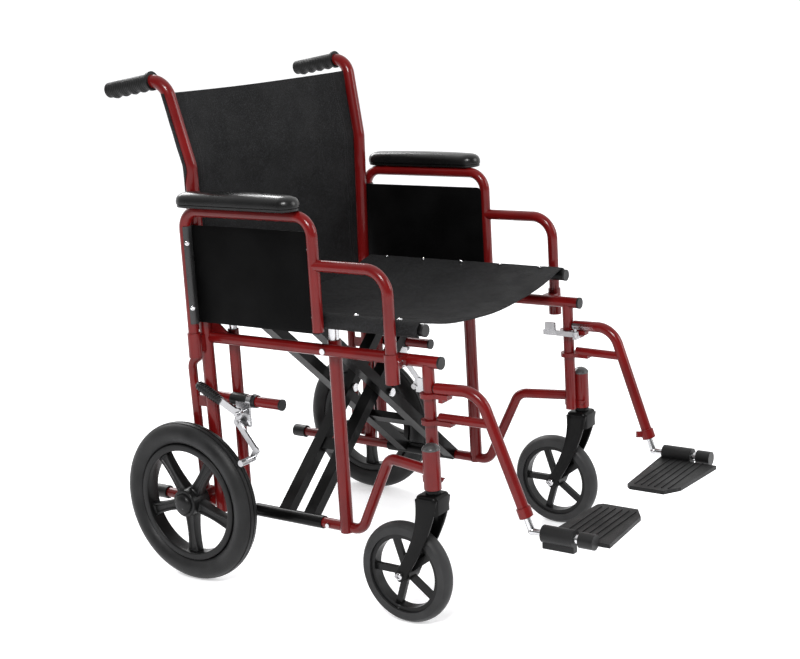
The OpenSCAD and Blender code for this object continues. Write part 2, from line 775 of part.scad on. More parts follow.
module footplate() {
  y0 = foot_y - 22;
  y1 = foot_y - 80;
  edge = foot_x - foot_w;
  color("dimgray") difference() {
    union() {
      cyl_y(foot_x, foot_z, y1, y0, 14.5);
      box(foot_x - 6, foot_x + 6, y1, y0, foot_z - 24, foot_z);
      translate([0, 0, foot_z - 13]) linear_extrude(7) polygon([
        [foot_x - 2, y0 + 4], [edge + 8, y0 - 8], [edge, y0 - 16],
        [edge, y0 - 82], [edge + 30, y0 - 102], [foot_x - 16, y0 - 112],
        [foot_x - 16, y1], [foot_x - 2, y1]]);
      for (i = [1 : 6]) box(edge + 14, foot_x - 16, y0 - 8 - i * 13, y0 - 6 - i * 13,
        foot_z - 7, foot_z - 4.5);
    }
    cyl_y(foot_x, foot_z, foot_y - 200, foot_y + 40, 5.5 + gap);
  }
}

module left() {
  translate([0, -y_mid, 0]) children();
}

module right() {
  mirror([1, 0, 0]) left() children();
}

left() back_cane();  // left_back_cane
right() back_cane();  // right_back_cane
left() grip();  // left_grip
right() grip();  // right_grip
left() upper_rail();  // left_upper_rail
right() upper_rail();  // right_upper_rail
left() guide_tubes();  // left_guide_tubes
right() guide_tubes();  // right_guide_tubes
left() front_column();  // left_front_column
right() front_column();  // right_front_column
left() lower_rail();  // left_lower_rail
right() lower_rail();  // right_lower_rail
left() wheel_carrier();  // left_wheel_carrier
right() wheel_carrier();  // right_wheel_carrier
left() frame_brackets();  // left_brackets
right() frame_brackets();  // right_brackets
left() frame_plugs();  // left_plugs
right() frame_plugs();  // right_plugs
left() frame_bolts();  // left_bolts
right() frame_bolts();  // right_bolts
left() seat_rail();  // left_seat_rail
right() seat_rail();  // right_seat_rail
left() cross_a();
left() cross_b();
left() cross_bolts();
left() seat_sling();
left() back_sling();
left() arm_frame();  // left_arm_frame
right() arm_frame();  // right_arm_frame
left() arm_pad();  // left_arm_pad
right() arm_pad();  // right_arm_pad
left() skirt();  // left_skirt
right() skirt();  // right_skirt
left() brake_clamp();  // left_brake_clamp
right() brake_clamp();  // right_brake_clamp
left() brake_lever();  // left_brake_lever
right() brake_lever();  // right_brake_lever
left() brake_grip();  // left_brake_grip
right() brake_grip();  // right_brake_grip
left() brake_shoe();  // left_brake_shoe
right() brake_shoe();  // right_brake_shoe
left() rear_tyre();  // left_rear_tyre
right() rear_tyre();  // right_rear_tyre
left() rear_rim();  // left_rear_rim
right() rear_rim();  // right_rear_rim
left() caster_fork();  // left_caster_fork
right() caster_fork();  // right_caster_fork
left() caster_tyre();  // left_caster_tyre
right() caster_tyre();  // right_caster_tyre
left() caster_rim();  // left_caster_rim
right() caster_rim();  // right_caster_rim
left() hanger();  // left_hanger
right() hanger();  // right_hanger
left() release_lever();  // left_release_lever
right() release_lever();  // right_release_lever
left() foot_post();  // left_foot_post
right() foot_post();  // right_foot_post
left() footplate();  // left_footplate
right() footplate();  // right_footplate
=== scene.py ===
"""Looks of a folding transport wheelchair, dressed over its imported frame."""

import logging
import math
from collections.abc import Callable
from dataclasses import dataclass
from enum import Enum

import bpy
from mathutils import Matrix, Vector


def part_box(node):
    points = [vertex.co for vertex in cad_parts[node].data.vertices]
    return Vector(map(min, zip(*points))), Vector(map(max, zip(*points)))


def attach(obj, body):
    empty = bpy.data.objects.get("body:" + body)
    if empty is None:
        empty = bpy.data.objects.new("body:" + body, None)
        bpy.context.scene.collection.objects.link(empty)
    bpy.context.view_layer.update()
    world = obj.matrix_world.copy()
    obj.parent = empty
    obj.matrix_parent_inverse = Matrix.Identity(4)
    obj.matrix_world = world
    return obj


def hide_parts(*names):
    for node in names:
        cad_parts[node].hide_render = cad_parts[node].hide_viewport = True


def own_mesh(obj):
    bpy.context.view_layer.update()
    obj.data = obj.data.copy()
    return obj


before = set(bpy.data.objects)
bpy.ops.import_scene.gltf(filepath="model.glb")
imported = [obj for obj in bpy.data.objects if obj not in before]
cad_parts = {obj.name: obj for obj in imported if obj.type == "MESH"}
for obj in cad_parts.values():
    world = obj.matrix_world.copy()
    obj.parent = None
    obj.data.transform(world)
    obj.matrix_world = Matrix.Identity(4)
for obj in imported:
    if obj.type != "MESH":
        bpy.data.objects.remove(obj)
LOG = logging.getLogger("wheelchair")
Colour = tuple[float, float, float, float]


def grey(level: float) -> Colour:
    """Returns a neutral colour of the given level."""
    return (level, level, level * 1.02, 1.0)


# ---------------------------------------------------------------- shader maths
class Signal:
    """One number in a shader, usable in ordinary arithmetic."""

    def __init__(self, board: "Board", socket: bpy.types.NodeSocket) -> None:
        """Wraps an output socket.

        Args:
            board: The board that owns the socket.
            socket: The output that carries the number.
        """
        self.board = board
        self.socket = socket

    def __add__(self, other: "Signal | float") -> "Signal":
        """Returns the sum."""
        return self.board.maths("ADD", self, other)

    __radd__ = __add__

    def __sub__(self, other: "Signal | float") -> "Signal":
        """Returns the difference."""
        return self.board.maths("SUBTRACT", self, other)

    def __rsub__(self, other: "Signal | float") -> "Signal":
        """Returns the other number less this one."""
        return self.board.maths("SUBTRACT", other, self)

    def __mul__(self, other: "Signal | float") -> "Signal":
        """Returns the product."""
        return self.board.maths("MULTIPLY", self, other)

    __rmul__ = __mul__

    def __abs__(self) -> "Signal":
        """Returns the size without its sign."""
        return self.board.maths("ABSOLUTE", self)

    def ramp(self, low: float, high: float) -> "Signal":
        """Rises smoothly from 0 at low to 1 at high.

        Args:
            low: Value that gives 0.
            high: Value that gives 1.

        Returns:
            The eased share.
        """
        made = self.board.node(
            "ShaderNodeMapRange",
            {"Value": self, "From Min": low, "From Max": high},
            interpolation_type="SMOOTHSTEP",
        )
        return Signal(self.board, made.outputs[0])

    def wave(self, pitch: float) -> "Signal":
        """Returns a sine of this length, one turn for each pitch."""
        return self.board.maths("SINE", self * (2 * math.pi / pitch))


class Board:
    """The node board of one material."""

    def __init__(self, name: str) -> None:
        """Starts an empty board.

        Args:
            name: Name of the material.
        """
        self.material = bpy.data.materials.new(name)
        self.material.use_nodes = True
        self.tree = self.material.node_tree
        self.tree.nodes.clear()
        self.coordinates = self.node("ShaderNodeTexCoord").outputs["Object"]

    def node(self, kind: str, inputs: dict | None = None, **settings: object) -> bpy.types.Node:
        """Adds a node.

        Args:
            kind: Blender's node type.
            inputs: Values, sockets or signals by input name or number.
            **settings: Properties of the node.

        Returns:
            The new node.
        """
        made = self.tree.nodes.new(kind)
        for key, value in settings.items():
            setattr(made, key, value)
        for key, value in (inputs or {}).items():
            source = value.socket if isinstance(value, Signal) else value
            if isinstance(source, bpy.types.NodeSocket):
                self.tree.links.new(source, made.inputs[key])
            else:
                made.inputs[key].default_value = source
        return made

    def maths(self, operation: str, *values: "Signal | float") -> Signal:
        """Returns the result of one maths operation on the values."""
        made = self.node("ShaderNodeMath", dict(enumerate(values)), operation=operation)
        return Signal(self, made.outputs[0])

    def axes(self) -> tuple[Signal, Signal, Signal]:
        """Returns the surface point's three coordinates, in metres."""
        made = self.node("ShaderNodeSeparateXYZ", {0: self.coordinates})
        return tuple(Signal(self, out) for out in made.outputs)

    def noise(self, scale: float, detail: float = 3.0, stretch: tuple = (1, 1, 1)) -> Signal:
        """Makes cloudy noise.

        Args:
            scale: Lumps for each metre.
            detail: Octaves of finer noise.
            stretch: Factor for each axis.

        Returns:
            Noise from 0 to 1.
        """
        mapped = self.node("ShaderNodeMapping", {"Vector": self.coordinates, "Scale": stretch})
        made = self.node(
            "ShaderNodeTexNoise", {"Vector": mapped.outputs[0], "Scale": scale, "Detail": detail}
        )
        return Signal(self, made.outputs[0])

    def cells(self, scale: float) -> Signal:
        """Returns the distance to the nearest of scattered points."""
        made = self.node("ShaderNodeTexVoronoi", {"Vector": self.coordinates, "Scale": scale})
        return Signal(self, made.outputs["Distance"])

    def mix(self, share: Signal, first: object, second: object) -> bpy.types.NodeSocket:
        """Mixes two colours.

        Args:
            share: How much of the second shows.
            first: Colour or socket at share 0.
            second: Colour or socket at share 1.

        Returns:
            The mixed colour.
        """
        made = self.node("ShaderNodeMix", {0: share, 6: first, 7: second}, data_type="RGBA")
        return made.outputs[2]


# ------------------------------------------------------------------- finishes
@dataclass(frozen=True)
class Finish:
    """A surface finish: two tones, a gloss range and a fine relief."""

    name: str
    low: Colour
    high: Colour
    gloss: tuple[float, float]
    metallic: float = 0.0
    coat: float = 0.0
    coat_gloss: float = 0.06
    sheen: float = 0.0
    specular: float = 0.5
    relief: float = 0.0002
    patch: float = 12.0
    wear: Colour = (0.3, 0.3, 0.3, 1.0)
    worn: float = 0.35
    glow: float = 0.0

    def tone(self, board: Board) -> Signal:
        """Returns where the high tone shows."""
        return board.noise(self.patch, 5.0).ramp(0.3, 0.7)

    def height(self, board: Board) -> Signal:
        """Returns the relief, from 0 to 1."""
        return board.noise(700.0, 2.0)

    def scuffs(self, board: Board) -> Signal:
        """Returns small worn spots."""
        fine = board.noise(75.0, 8.0).ramp(0.68, 0.76)
        return fine * board.noise(7.0, 2.0).ramp(0.5, 0.62) * self.worn

    def colour(self, board: Board) -> bpy.types.NodeSocket:
        """Returns the surface colour."""
        body = board.mix(self.tone(board), self.low, self.high)
        return board.mix(self.scuffs(board), body, self.wear)

    def material(self) -> bpy.types.Material:
        """Returns the material, made the first time it is asked for."""
        found = bpy.data.materials.get(self.name)
        if found:
            return found
        board = Board(self.name)
        low, high = self.gloss
        smear = board.noise(22.0, 6.0).ramp(0.35, 0.75)
        rough = smear * (high - low) + low
        bump = board.node(
            "ShaderNodeBump",
            {"Height": self.height(board), "Strength": 1.0, "Distance": self.relief},
        )
        shader = board.node(
            "ShaderNodeBsdfPrincipled",
            {
                "Base Color": self.colour(board),
                "Roughness": rough,
                "Metallic": self.metallic,
                "Coat Weight": self.coat,
                "Coat Roughness": self.coat_gloss,
                "Sheen Weight": self.sheen,
                "Sheen Roughness": 0.4,
                "Specular IOR Level": self.specular,
                "Emission Color": (1, 1, 1, 1),
                "Emission Strength": self.glow,
                "Normal": bump.outputs[0],
            },
        )
        board.node("ShaderNodeOutputMaterial", {"Surface": shader.outputs[0]})
        return board.material


@dataclass(frozen=True)
class Paint(Finish):
    """Baked paint with a faint orange peel and metallic flakes, whose glints are painted into the
    colour as bright spots.
    """

    # Flake colour, painted brighter than the body as the flakes' painted glints.
    glint_tint: Colour = (0.8, 0.1, 0.08, 1.0)

    def height(self, board: Board) -> Signal:
        """Returns the orange peel."""
        return board.noise(240.0, 2.0) * 0.8 + board.noise(1500.0, 1.0) * 0.1

    def colour(self, board: Board) -> bpy.types.NodeSocket:
        """Returns the body colour with its scuffs, and its flakes painted bright as painted glints.
        """
        # Bright specks of painted glint where the paint's flakes lie.
        painted_glints = board.noise(2400.0, 1.0).ramp(0.56, 0.7) * 0.3
        return board.mix(painted_glints, Finish.colour(self, board), self.glint_tint)


@dataclass(frozen=True)
class Plating(Finish):
    """Bright plating with fine polishing lines."""

    def height(self, board: Board) -> Signal:
        """Returns polishing lines that run round the upright posts."""
        return board.noise(160.0, 3.0, (1, 1, 9)) * 0.7 + board.noise(900.0, 1.0) * 0.3


@dataclass(frozen=True)
class Weave(Finish):
    """Plain-woven nylon with rows of stitching."""

    second_axis: int = 1
    pitch: float = 0.0016
    seams: tuple[float, ...] = ()
    thread: Colour = (0.034, 0.034, 0.036, 1.0)
    # Colour of the specks of painted highlight on the cloth.
    highlight_speck: Colour = (0.03, 0.031, 0.034, 1.0)

    def height(self, board: Board) -> Signal:
        """Returns crossing threads and soft creases."""
        axes = board.axes()
        warp, weft = axes[0].wave(self.pitch * 2), axes[self.second_axis].wave(self.pitch * 2)
        over = (warp * weft).ramp(-0.2, 0.2)
        threads = abs(warp) * over + abs(weft) * (1.0 - over)
        creases = board.noise(9.0, 4.0) * 5.0 + board.noise(38.0, 3.0) * 1.4
        return threads * 0.55 + creases + self.stitches(board) * 1.5

    def stitches(self, board: Board) -> Signal:
        """Returns where sewing thread shows."""
        axes = board.axes()
        dash = axes[self.second_axis].wave(0.0044).ramp(-0.5, 0.0)
        return sum((1.0 - abs(abs(axes[0]) - place).ramp(0.0004, 0.0011)) * dash
                   for place in self.seams)

    def colour(self, board: Board) -> bpy.types.NodeSocket:
        """Returns the cloth colour, its specks of painted highlight, its dust and its thread."""
        # Lighter bluish specks of painted highlight across the cloth.
        highlight_specks = board.noise(430.0, 2.0).ramp(0.46, 0.66) * 0.6
        cloth = board.mix(highlight_specks, Finish.colour(self, board), self.highlight_speck)
        return board.mix(self.stitches(board), cloth, self.thread)


@dataclass(frozen=True)
class Skin(Finish):
    """Moulded or coated skin with a pebbled leather grain."""

    grain: float = 420.0

    def height(self, board: Board) -> Signal:
        """Returns the pebbles."""
        return board.cells(self.grain).ramp(0.0, 0.7) * 0.8 + board.noise(60.0, 3.0) * 0.8


@dataclass(frozen=True)
class Rubber(Finish):
    """Moulded rubber with a dry bloom and dust."""

    def height(self, board: Board) -> Signal:
        """Returns the moulded grain."""
        return board.noise(520.0, 4.0) * 0.7 + board.cells(1400.0) * 0.4


# The flake colours below are painted glints of the paint's flakes.
RED = Paint("deep red enamel", (0.094, 0.0028, 0.003, 1), (0.132, 0.0042, 0.0042, 1), (0.28, 0.4),
            specular=0.12, coat=0.34, coat_gloss=0.035, relief=0.0001, wear=(0.06, 0.02, 0.018, 1),
            glint_tint=(0.24, 0.012, 0.011, 1))
BLACK = Paint("black enamel", grey(0.0018), grey(0.0036), (0.32, 0.44), coat=0.1, coat_gloss=0.08,
              specular=0.07, relief=0.00012, wear=grey(0.04), glint_tint=grey(0.008))
CHROME = Plating("bright plating", grey(0.5), grey(0.66), (0.1, 0.24), metallic=1.0,
                 relief=0.00004, wear=grey(0.25))
ZINC = Plating("zinc plate", grey(0.36), grey(0.5), (0.22, 0.34), metallic=1.0,
               relief=0.00006, wear=grey(0.2))
SEAT_CLOTH = Weave("seat nylon", grey(0.007), grey(0.013), (0.6, 0.8), sheen=0.02, specular=0.12,
                   relief=0.0012, wear=grey(0.022), seams=(0.205, 0.212))
BACK_CLOTH = Weave("back nylon", grey(0.0055), grey(0.011), (0.6, 0.8), sheen=0.02, specular=0.1,
                   relief=0.0012, second_axis=2, wear=grey(0.022), seams=(0.214, 0.221))
PAD_SKIN = Skin("arm pad skin", grey(0.003), grey(0.006), (0.26, 0.38), coat=0.3, specular=0.2,
                coat_gloss=0.2, relief=0.0001, wear=grey(0.03))
PANEL_SKIN = Skin("panel vinyl", grey(0.0015), grey(0.003), (0.45, 0.6), specular=0.05,
                  relief=0.0001, wear=grey(0.012), grain=650.0)
STRIP_SKIN = Skin("panel edge strip", grey(0.012), grey(0.02), (0.18, 0.28), specular=0.5,
                  relief=0.0001, grain=900.0)
GRIP_RUBBER = Rubber("grip rubber", grey(0.005), grey(0.009), (0.42, 0.58), specular=0.2,
                     relief=0.00025, wear=grey(0.04))
CAP_RUBBER = Rubber("cap rubber", grey(0.005), grey(0.01), (0.35, 0.5), specular=0.25,
                    relief=0.00015)
GREY_CAP = Skin("grey cap plastic", grey(0.035), grey(0.055), (0.25, 0.38), relief=0.0001)
TYRE = Rubber("rear tyre rubber", grey(0.008), grey(0.015), (0.38, 0.55), specular=0.2,
              relief=0.00022, wear=grey(0.06), patch=20.0)
CASTER_TYRE = Rubber("caster tyre rubber", grey(0.018), grey(0.028), (0.42, 0.6), specular=0.22,
                     relief=0.00018, wear=grey(0.08), patch=20.0)
RIM = Skin("moulded rim", grey(0.0035), grey(0.007), (0.28, 0.4), specular=0.2, relief=0.0001,
           grain=800.0)
PLATE = Skin("moulded footplate", grey(0.006), grey(0.011), (0.42, 0.56), specular=0.2,
             relief=0.0002, grain=600.0, wear=grey(0.05))
BRAKE_GRIP = Rubber("brake grip rubber", grey(0.004), grey(0.008), (0.3, 0.45), specular=0.25,
                    relief=0.00018)


# --------------------------------------------------------------------- bench
class Part(Enum):
    """What a selection takes."""

    FACE = "FACE"
    EDGE = "EDGE"
    POINT = "VERT"


class Side(Enum):
    """The user's left and right."""

    LEFT = 1
    RIGHT = -1

    @property
    def word(self) -> str:
        """The side's name, as the nodes spell it."""
        return self.name.lower()


Test = Callable[[Vector, Vector], bool]


def everywhere(place: Vector, way: Vector) -> bool:
    """Passes every face, edge and point."""
    return True


def upright(place: Vector, way: Vector) -> bool:
    """Passes what runs or faces straight up or down."""
    return abs(way.z) > 0.9


def rounded(along: float, length: float, reach: float) -> float:
    """Returns the share of its radius that a bar keeps towards its rounded end.

    Args:
        along: Place along the bar.
        length: Length of the bar.
        reach: Length of the rounded part.

    Returns:
        The share, 1 before the rounded part.
    """
    rest = max(0.0, (along - (length - reach)) / reach)
    return math.sqrt(max(0.02, 1 - rest ** 2 * 0.98))


class Bench:
    """Hand modelling steps that leave each piece settled at the origin."""

    @staticmethod
    def take(piece: bpy.types.Object) -> None:
        """Makes one piece the only selected and active one."""
        bpy.ops.object.select_all(action="DESELECT")
        piece.select_set(True)
        bpy.context.view_layer.objects.active = piece

    @staticmethod
    def settle(piece: bpy.types.Object, name: str) -> bpy.types.Object:
        """Names a piece and puts its place into its mesh.

        Args:
            piece: The new piece.
            name: Name for the object.

        Returns:
            The same piece.
        """
        piece.name = piece.data.name = name
        Bench.take(piece)
        bpy.ops.object.transform_apply(location=True, rotation=True, scale=True)
        return piece

    @staticmethod
    def block(name: str, low: Vector, high: Vector) -> bpy.types.Object:
        """Returns a cube stretched between two corners."""
        bpy.ops.object.select_all(action="DESELECT")
        bpy.ops.mesh.primitive_cube_add(size=1, location=(low + high) / 2, scale=high - low)
        return Bench.settle(bpy.context.object, name)

    @staticmethod
    def rod(name: str, start: Vector, end: Vector, radius: float,
            sides: int = 40) -> bpy.types.Object:
        """Makes a cylinder.

        Args:
            name: Name for the object.
            start: Centre of the first end.
            end: Centre of the other end.
            radius: Radius, in metres.
            sides: Faces round it.

        Returns:
            The new piece.
        """
        bpy.ops.object.select_all(action="DESELECT")
        line = end - start
        turn = line.to_track_quat("Z", "Y").to_euler()
        bpy.ops.mesh.primitive_cylinder_add(
            vertices=sides, radius=radius, depth=line.length,
            location=(start + end) / 2, rotation=turn
        )
        return Bench.settle(bpy.context.object, name)

    @staticmethod
    def grid(name: str, across: int, along: int) -> bpy.types.Object:
        """Returns a flat grid from 0 to 1 each way."""
        bpy.ops.object.select_all(action="DESELECT")
        bpy.ops.mesh.primitive_grid_add(
            x_subdivisions=across, y_subdivisions=along, size=1, location=(0.5, 0.5, 0)
        )
        return Bench.settle(bpy.context.object, name)

    @staticmethod
    def pick(piece: bpy.types.Object, part: Part, test: Test) -> None:
        """Enters edit mode with the passing faces, edges or points selected.

        Args:
            piece: The piece to work on.
            part: What is picked.
            test: Takes the place and the normal or direction.
        """
        Bench.take(piece)
        bpy.ops.object.mode_set(mode="EDIT")
        bpy.ops.mesh.select_mode(type=part.value)
        bpy.ops.mesh.select_all(action="DESELECT")
        bpy.ops.object.mode_set(mode="OBJECT")
        mesh = piece.data
        if part is Part.FACE:
            for face in mesh.polygons:
                face.select = test(face.center, face.normal)
        elif part is Part.EDGE:
            for edge in mesh.edges:
                one, two = (mesh.vertices[i].co for i in edge.vertices)
                edge.select = test((one + two) / 2, (two - one).normalized())
        else:
            for point in mesh.vertices:
                point.select = test(point.co, point.normal)
        bpy.ops.object.mode_set(mode="EDIT")

    @staticmethod
    def leave() -> None:
        """Goes back to object mode."""
        bpy.ops.object.mode_set(mode="OBJECT")

    @staticmethod
    def bevel(piece: bpy.types.Object, width: float, segments: int = 4,
              test: Test = everywhere) -> None:
        """Rounds the picked edges.

        Args:
            piece: The piece to work on.
            width: Width of the bevel.
            segments: Steps round it.
            test: Picks edges by place and direction.
        """
        Bench.pick(piece, Part.EDGE, test)
        bpy.ops.mesh.bevel(offset=width, segments=segments, affect="EDGES")
        Bench.leave()

    @staticmethod
    def cuts(piece: bpy.types.Object, count: int, test: Test) -> None:
        """Divides the picked edges, and the faces between them, into equal steps."""
        Bench.pick(piece, Part.EDGE, test)
        bpy.ops.mesh.subdivide(number_cuts=count)
        Bench.leave()

    @staticmethod
    def push(piece: bpy.types.Object, move: Callable[[Vector], Vector]) -> None:
        """Moves every point of a piece by a rule."""
        for point in piece.data.vertices:
            point.co = move(point.co.copy())
        piece.data.update()

    @staticmethod
    def modify(piece: bpy.types.Object, kind: str, **settings: object) -> None:
        """Adds a modifier and applies it.

        Args:
            piece: The piece to work on.
            kind: Blender's modifier type.
            **settings: Properties of the modifier.
        """
        Bench.take(piece)
        made = piece.modifiers.new(kind, kind)
        for key, value in settings.items():
            setattr(made, key, value)
        bpy.ops.object.modifier_apply(modifier=made.name)

    @staticmethod
    def outward(piece: bpy.types.Object) -> None:
        """Turns every face outwards."""
        Bench.pick(piece, Part.FACE, everywhere)
        bpy.ops.mesh.normals_make_consistent(inside=False)
        Bench.leave()

    @staticmethod
    def weld(piece: bpy.types.Object, gap: float) -> None:
        """Joins points that meet and turns every face outwards.

        Args:
            piece: The piece to work on.
            gap: Points closer than this are joined.
        """
        Bench.pick(piece, Part.POINT, everywhere)
        bpy.ops.mesh.remove_doubles(threshold=gap)
        bpy.ops.mesh.normals_make_consistent(inside=False)
        Bench.leave()

    @staticmethod
    def thicken(piece: bpy.types.Object, thick: float, offset: float) -> None:
        """Gives a bent sheet its thickness and turns its faces outwards.

        Args:
            piece: The piece to work on.
            thick: Its thickness.
            offset: Side that the wall grows on, -1 or 1.
        """
        Bench.modify(piece, "SOLIDIFY", thickness=thick, offset=offset)
        Bench.outward(piece)

    @staticmethod
    def turned(name: str, start: Vector, way: Vector, length: float, counts: tuple[int, int],
               radius: Callable[[float, float], float]) -> bpy.types.Object:
        """Makes a round bar whose radius follows a rule.

        Args:
            name: Name for the object.
            start: Centre of its first end.
            way: Direction of its axis.
            length: Its length.
            counts: Faces round it and cuts along it.
            radius: Takes the place along it and how far the surface faces down.

        Returns:
            The new piece.
        """
        turn = way.to_track_quat("Z", "Y").to_matrix()
        piece = Bench.rod(name, Vector(), Vector((0, 0, length)), 1.0, counts[0])
        Bench.cuts(piece, counts[1], upright)

        def shape(point: Vector) -> Vector:
            """Moves a point of the plain rod to the bar's surface."""
            spot = turn @ Vector((point.x, point.y, 0)).normalized()
            return start + way * point.z + spot * radius(point.z, -spot.z)

        Bench.push(piece, shape)
        return piece

    @staticmethod
    def twin(piece: bpy.types.Object, name: str) -> bpy.types.Object:
        """Copies a left piece, with its own mesh, to the right side.

        Args:
            piece: The left piece.
            name: Name for the copy.

        Returns:
            The mirrored copy.
        """
        Bench.take(piece)
        bpy.ops.object.duplicate(linked=False)
        copy = bpy.context.object
        copy.scale = (-1, 1, 1)
        Bench.settle(copy, name)
        Bench.outward(copy)
        return copy

    @staticmethod
    def dress(piece: bpy.types.Object, finish: Finish, degrees: float = 35.0) -> bpy.types.Object:
        """Smooths a piece and gives it its finish.

        Args:
            piece: The piece to dress.
            finish: Its finish.
            degrees: Edges sharper than this stay sharp.

        Returns:
            The same piece.
        """
        Bench.take(piece)
        bpy.ops.object.shade_smooth_by_angle(angle=math.radians(degrees))
        piece.data.materials.clear()
        piece.data.materials.append(finish.material())
        return piece


Rule = tuple[Finish, Callable[[Vector], bool]]


def paint_node(name: str, finish: Finish, *rules: Rule) -> None:
    """Gives a frame node its finish, and other finishes where rules say.

    Args:
        name: The node.
        finish: What most of it wears.
        *rules: Further finishes, each with a test of a face's place, x taken positive.
    """
    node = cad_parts[name]
    mesh = node.data
    mesh.materials.clear()
    mesh.materials.append(finish.material())
    for other, _ in rules:
        mesh.materials.append(other.material())
    for face in mesh.polygons:
        place = Vector((abs(face.center.x), face.center.y, face.center.z))
        face.material_index = next((i for i, (_, test) in enumerate(rules, 1) if test(place)), 0)


def fit_pairs(lefts: list[bpy.types.Object], body: str, node: str) -> list[bpy.types.Object]:
    """Copies left pieces to the right and hands both sides to the frame.

    Args:
        lefts: The left pieces, first the one that stands in for the node.
        body: The body that they ride, without its side.
        node: The node that the first piece replaces, without its side.

    Returns:
        The first piece of each side.
    """
    firsts = []
    for left in lefts:
        right = Bench.twin(left, left.name.replace("left", "right"))
        for side, piece in ((Side.LEFT, left), (Side.RIGHT, right)):
            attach(piece, f"{side.word}_{body}")
            if left is lefts[0]:
                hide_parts(f"{side.word}_{node}")
                firsts.append(piece)
    return firsts


@dataclass(frozen=True)
class Layout:
    """Main places of the chair, read from its frame."""

    rail_x: float
    rail_z: float
    rail_r: float
    cane_y: float
    caster: Vector
    rear: Vector
    arm_x: float

    @staticmethod
    def read() -> "Layout":
        """Returns the layout measured on the left side."""
        rail_low, rail_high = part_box("left_upper_rail")
        arm_low, arm_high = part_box("left_arm_frame")
        middle = (arm_low.x + arm_high.x) / 2
        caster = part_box("left_caster_tyre")
        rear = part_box("left_rear_tyre")
        return Layout(
            (rail_low.x + rail_high.x) / 2, (rail_low.z + rail_high.z) / 2,
            (rail_high.z - rail_low.z) / 2, arm_high.y - (arm_high.x - arm_low.x) / 2,
            (caster[0] + caster[1]) / 2, (rear[0] + rear[1]) / 2, middle,
        )


# --------------------------------------------------------------- sub-assemblies
@dataclass
class SideFrames:
    """The tube frames, braces, wheels and linkages that keep their frame shapes."""

    layout: Layout
    stem_cap_reach: float = 0.016
    stem_cap_drop: float = 0.12
    stem_cap_floor: float = 0.2
    post_top: float = 0.041
    pivot_reach: float = 0.0235
    rail_tip: float = 0.0042
    brake_rail_in: float = 0.0015
    brake_rail_drop: float = 0.113
    brake_rail_r: float = 0.0122
    hinge_outer: float = 0.0082
    hinge_inner: float = 0.0245
    hinge_drop: float = 0.068
    hinge_back: float = 0.02
    plug_drop: float = 0.045
    plug_back: float = 0.003
    plug_r: float = 0.0078
    foot_tip: float = 0.0272

    def build(self) -> None:
        """Dresses every node that is carried over."""
        for side in Side:
            self.plain(side.word)
            self.capped(side.word)
            self.legrest(side.word)
        for name in ("cross_a", "cross_b"):
            paint_node(name, BLACK)
        paint_node("cross_bolts", CHROME)
        LOG.info("side frames dressed")

    def plain(self, word: str) -> None:
        """Dresses one side's nodes that wear a single finish.

        Args:
            word: The side's name.
        """
        for finish, parts in (
            (RED, ("back_cane", "upper_rail", "guide_tubes", "front_column", "lower_rail",
                   "wheel_carrier", "brackets", "arm_frame")),
            (CHROME, ("bolts",)),
            (ZINC, ("brake_lever", "brake_shoe", "release_lever")),
            (TYRE, ("rear_tyre",)),
            (CASTER_TYRE, ("caster_tyre",)),
            (RIM, ("caster_rim",)),
            (PLATE, ("footplate",)),
        ):
            for part in parts:
                paint_node(f"{word}_{part}", finish)

    def capped(self, word: str) -> None:
        """Dresses one side's plugs, seat rail and brake clamp.

        Args:
            word: The side's name.
        """
        at = self.layout
        stem, front = at.caster.x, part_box(f"{word}_seat_rail")[0].y
        paint_node(f"{word}_plugs", CAP_RUBBER,
                   (GREY_CAP, lambda p: p.x > stem - self.stem_cap_reach
                    and self.stem_cap_floor < p.z < at.rail_z - self.stem_cap_drop))
        paint_node(f"{word}_seat_rail", BLACK,
                   (CHROME, lambda p: p.z < at.rail_z + self.post_top
                    or p.x < at.rail_x - self.pivot_reach),
                   (CAP_RUBBER, lambda p: p.y < front + self.rail_tip))
        bar_x, bar_z = at.rail_x - self.brake_rail_in, at.rail_z - self.brake_rail_drop
        paint_node(f"{word}_brake_clamp", ZINC,
                   (CAP_RUBBER,
                    lambda p: math.hypot(p.x - bar_x, p.z - bar_z) < self.brake_rail_r))

    def legrest(self, word: str) -> None:
        """Dresses one side's hanger and footrest post.

        Args:
            word: The side's name.
        """
        at = self.layout
        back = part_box(f"{word}_front_column")[0].y
        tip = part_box(f"{word}_foot_post")[0].y
        paint_node(f"{word}_hanger", RED,
                   (ZINC, lambda p: p.y > back - self.hinge_back
                    and p.z > at.rail_z - self.hinge_drop
                    and at.rail_x - self.hinge_inner < p.x < at.rail_x - self.hinge_outer),
                   (CAP_RUBBER, lambda p: p.y > back - self.plug_back
                    and abs(p.z - (at.rail_z - self.plug_drop)) < self.plug_r
                    and abs(p.x - at.rail_x) < self.plug_r))
        paint_node(f"{word}_foot_post", CHROME,
                   (CAP_RUBBER, lambda p: p.y < tip + self.foot_tip))


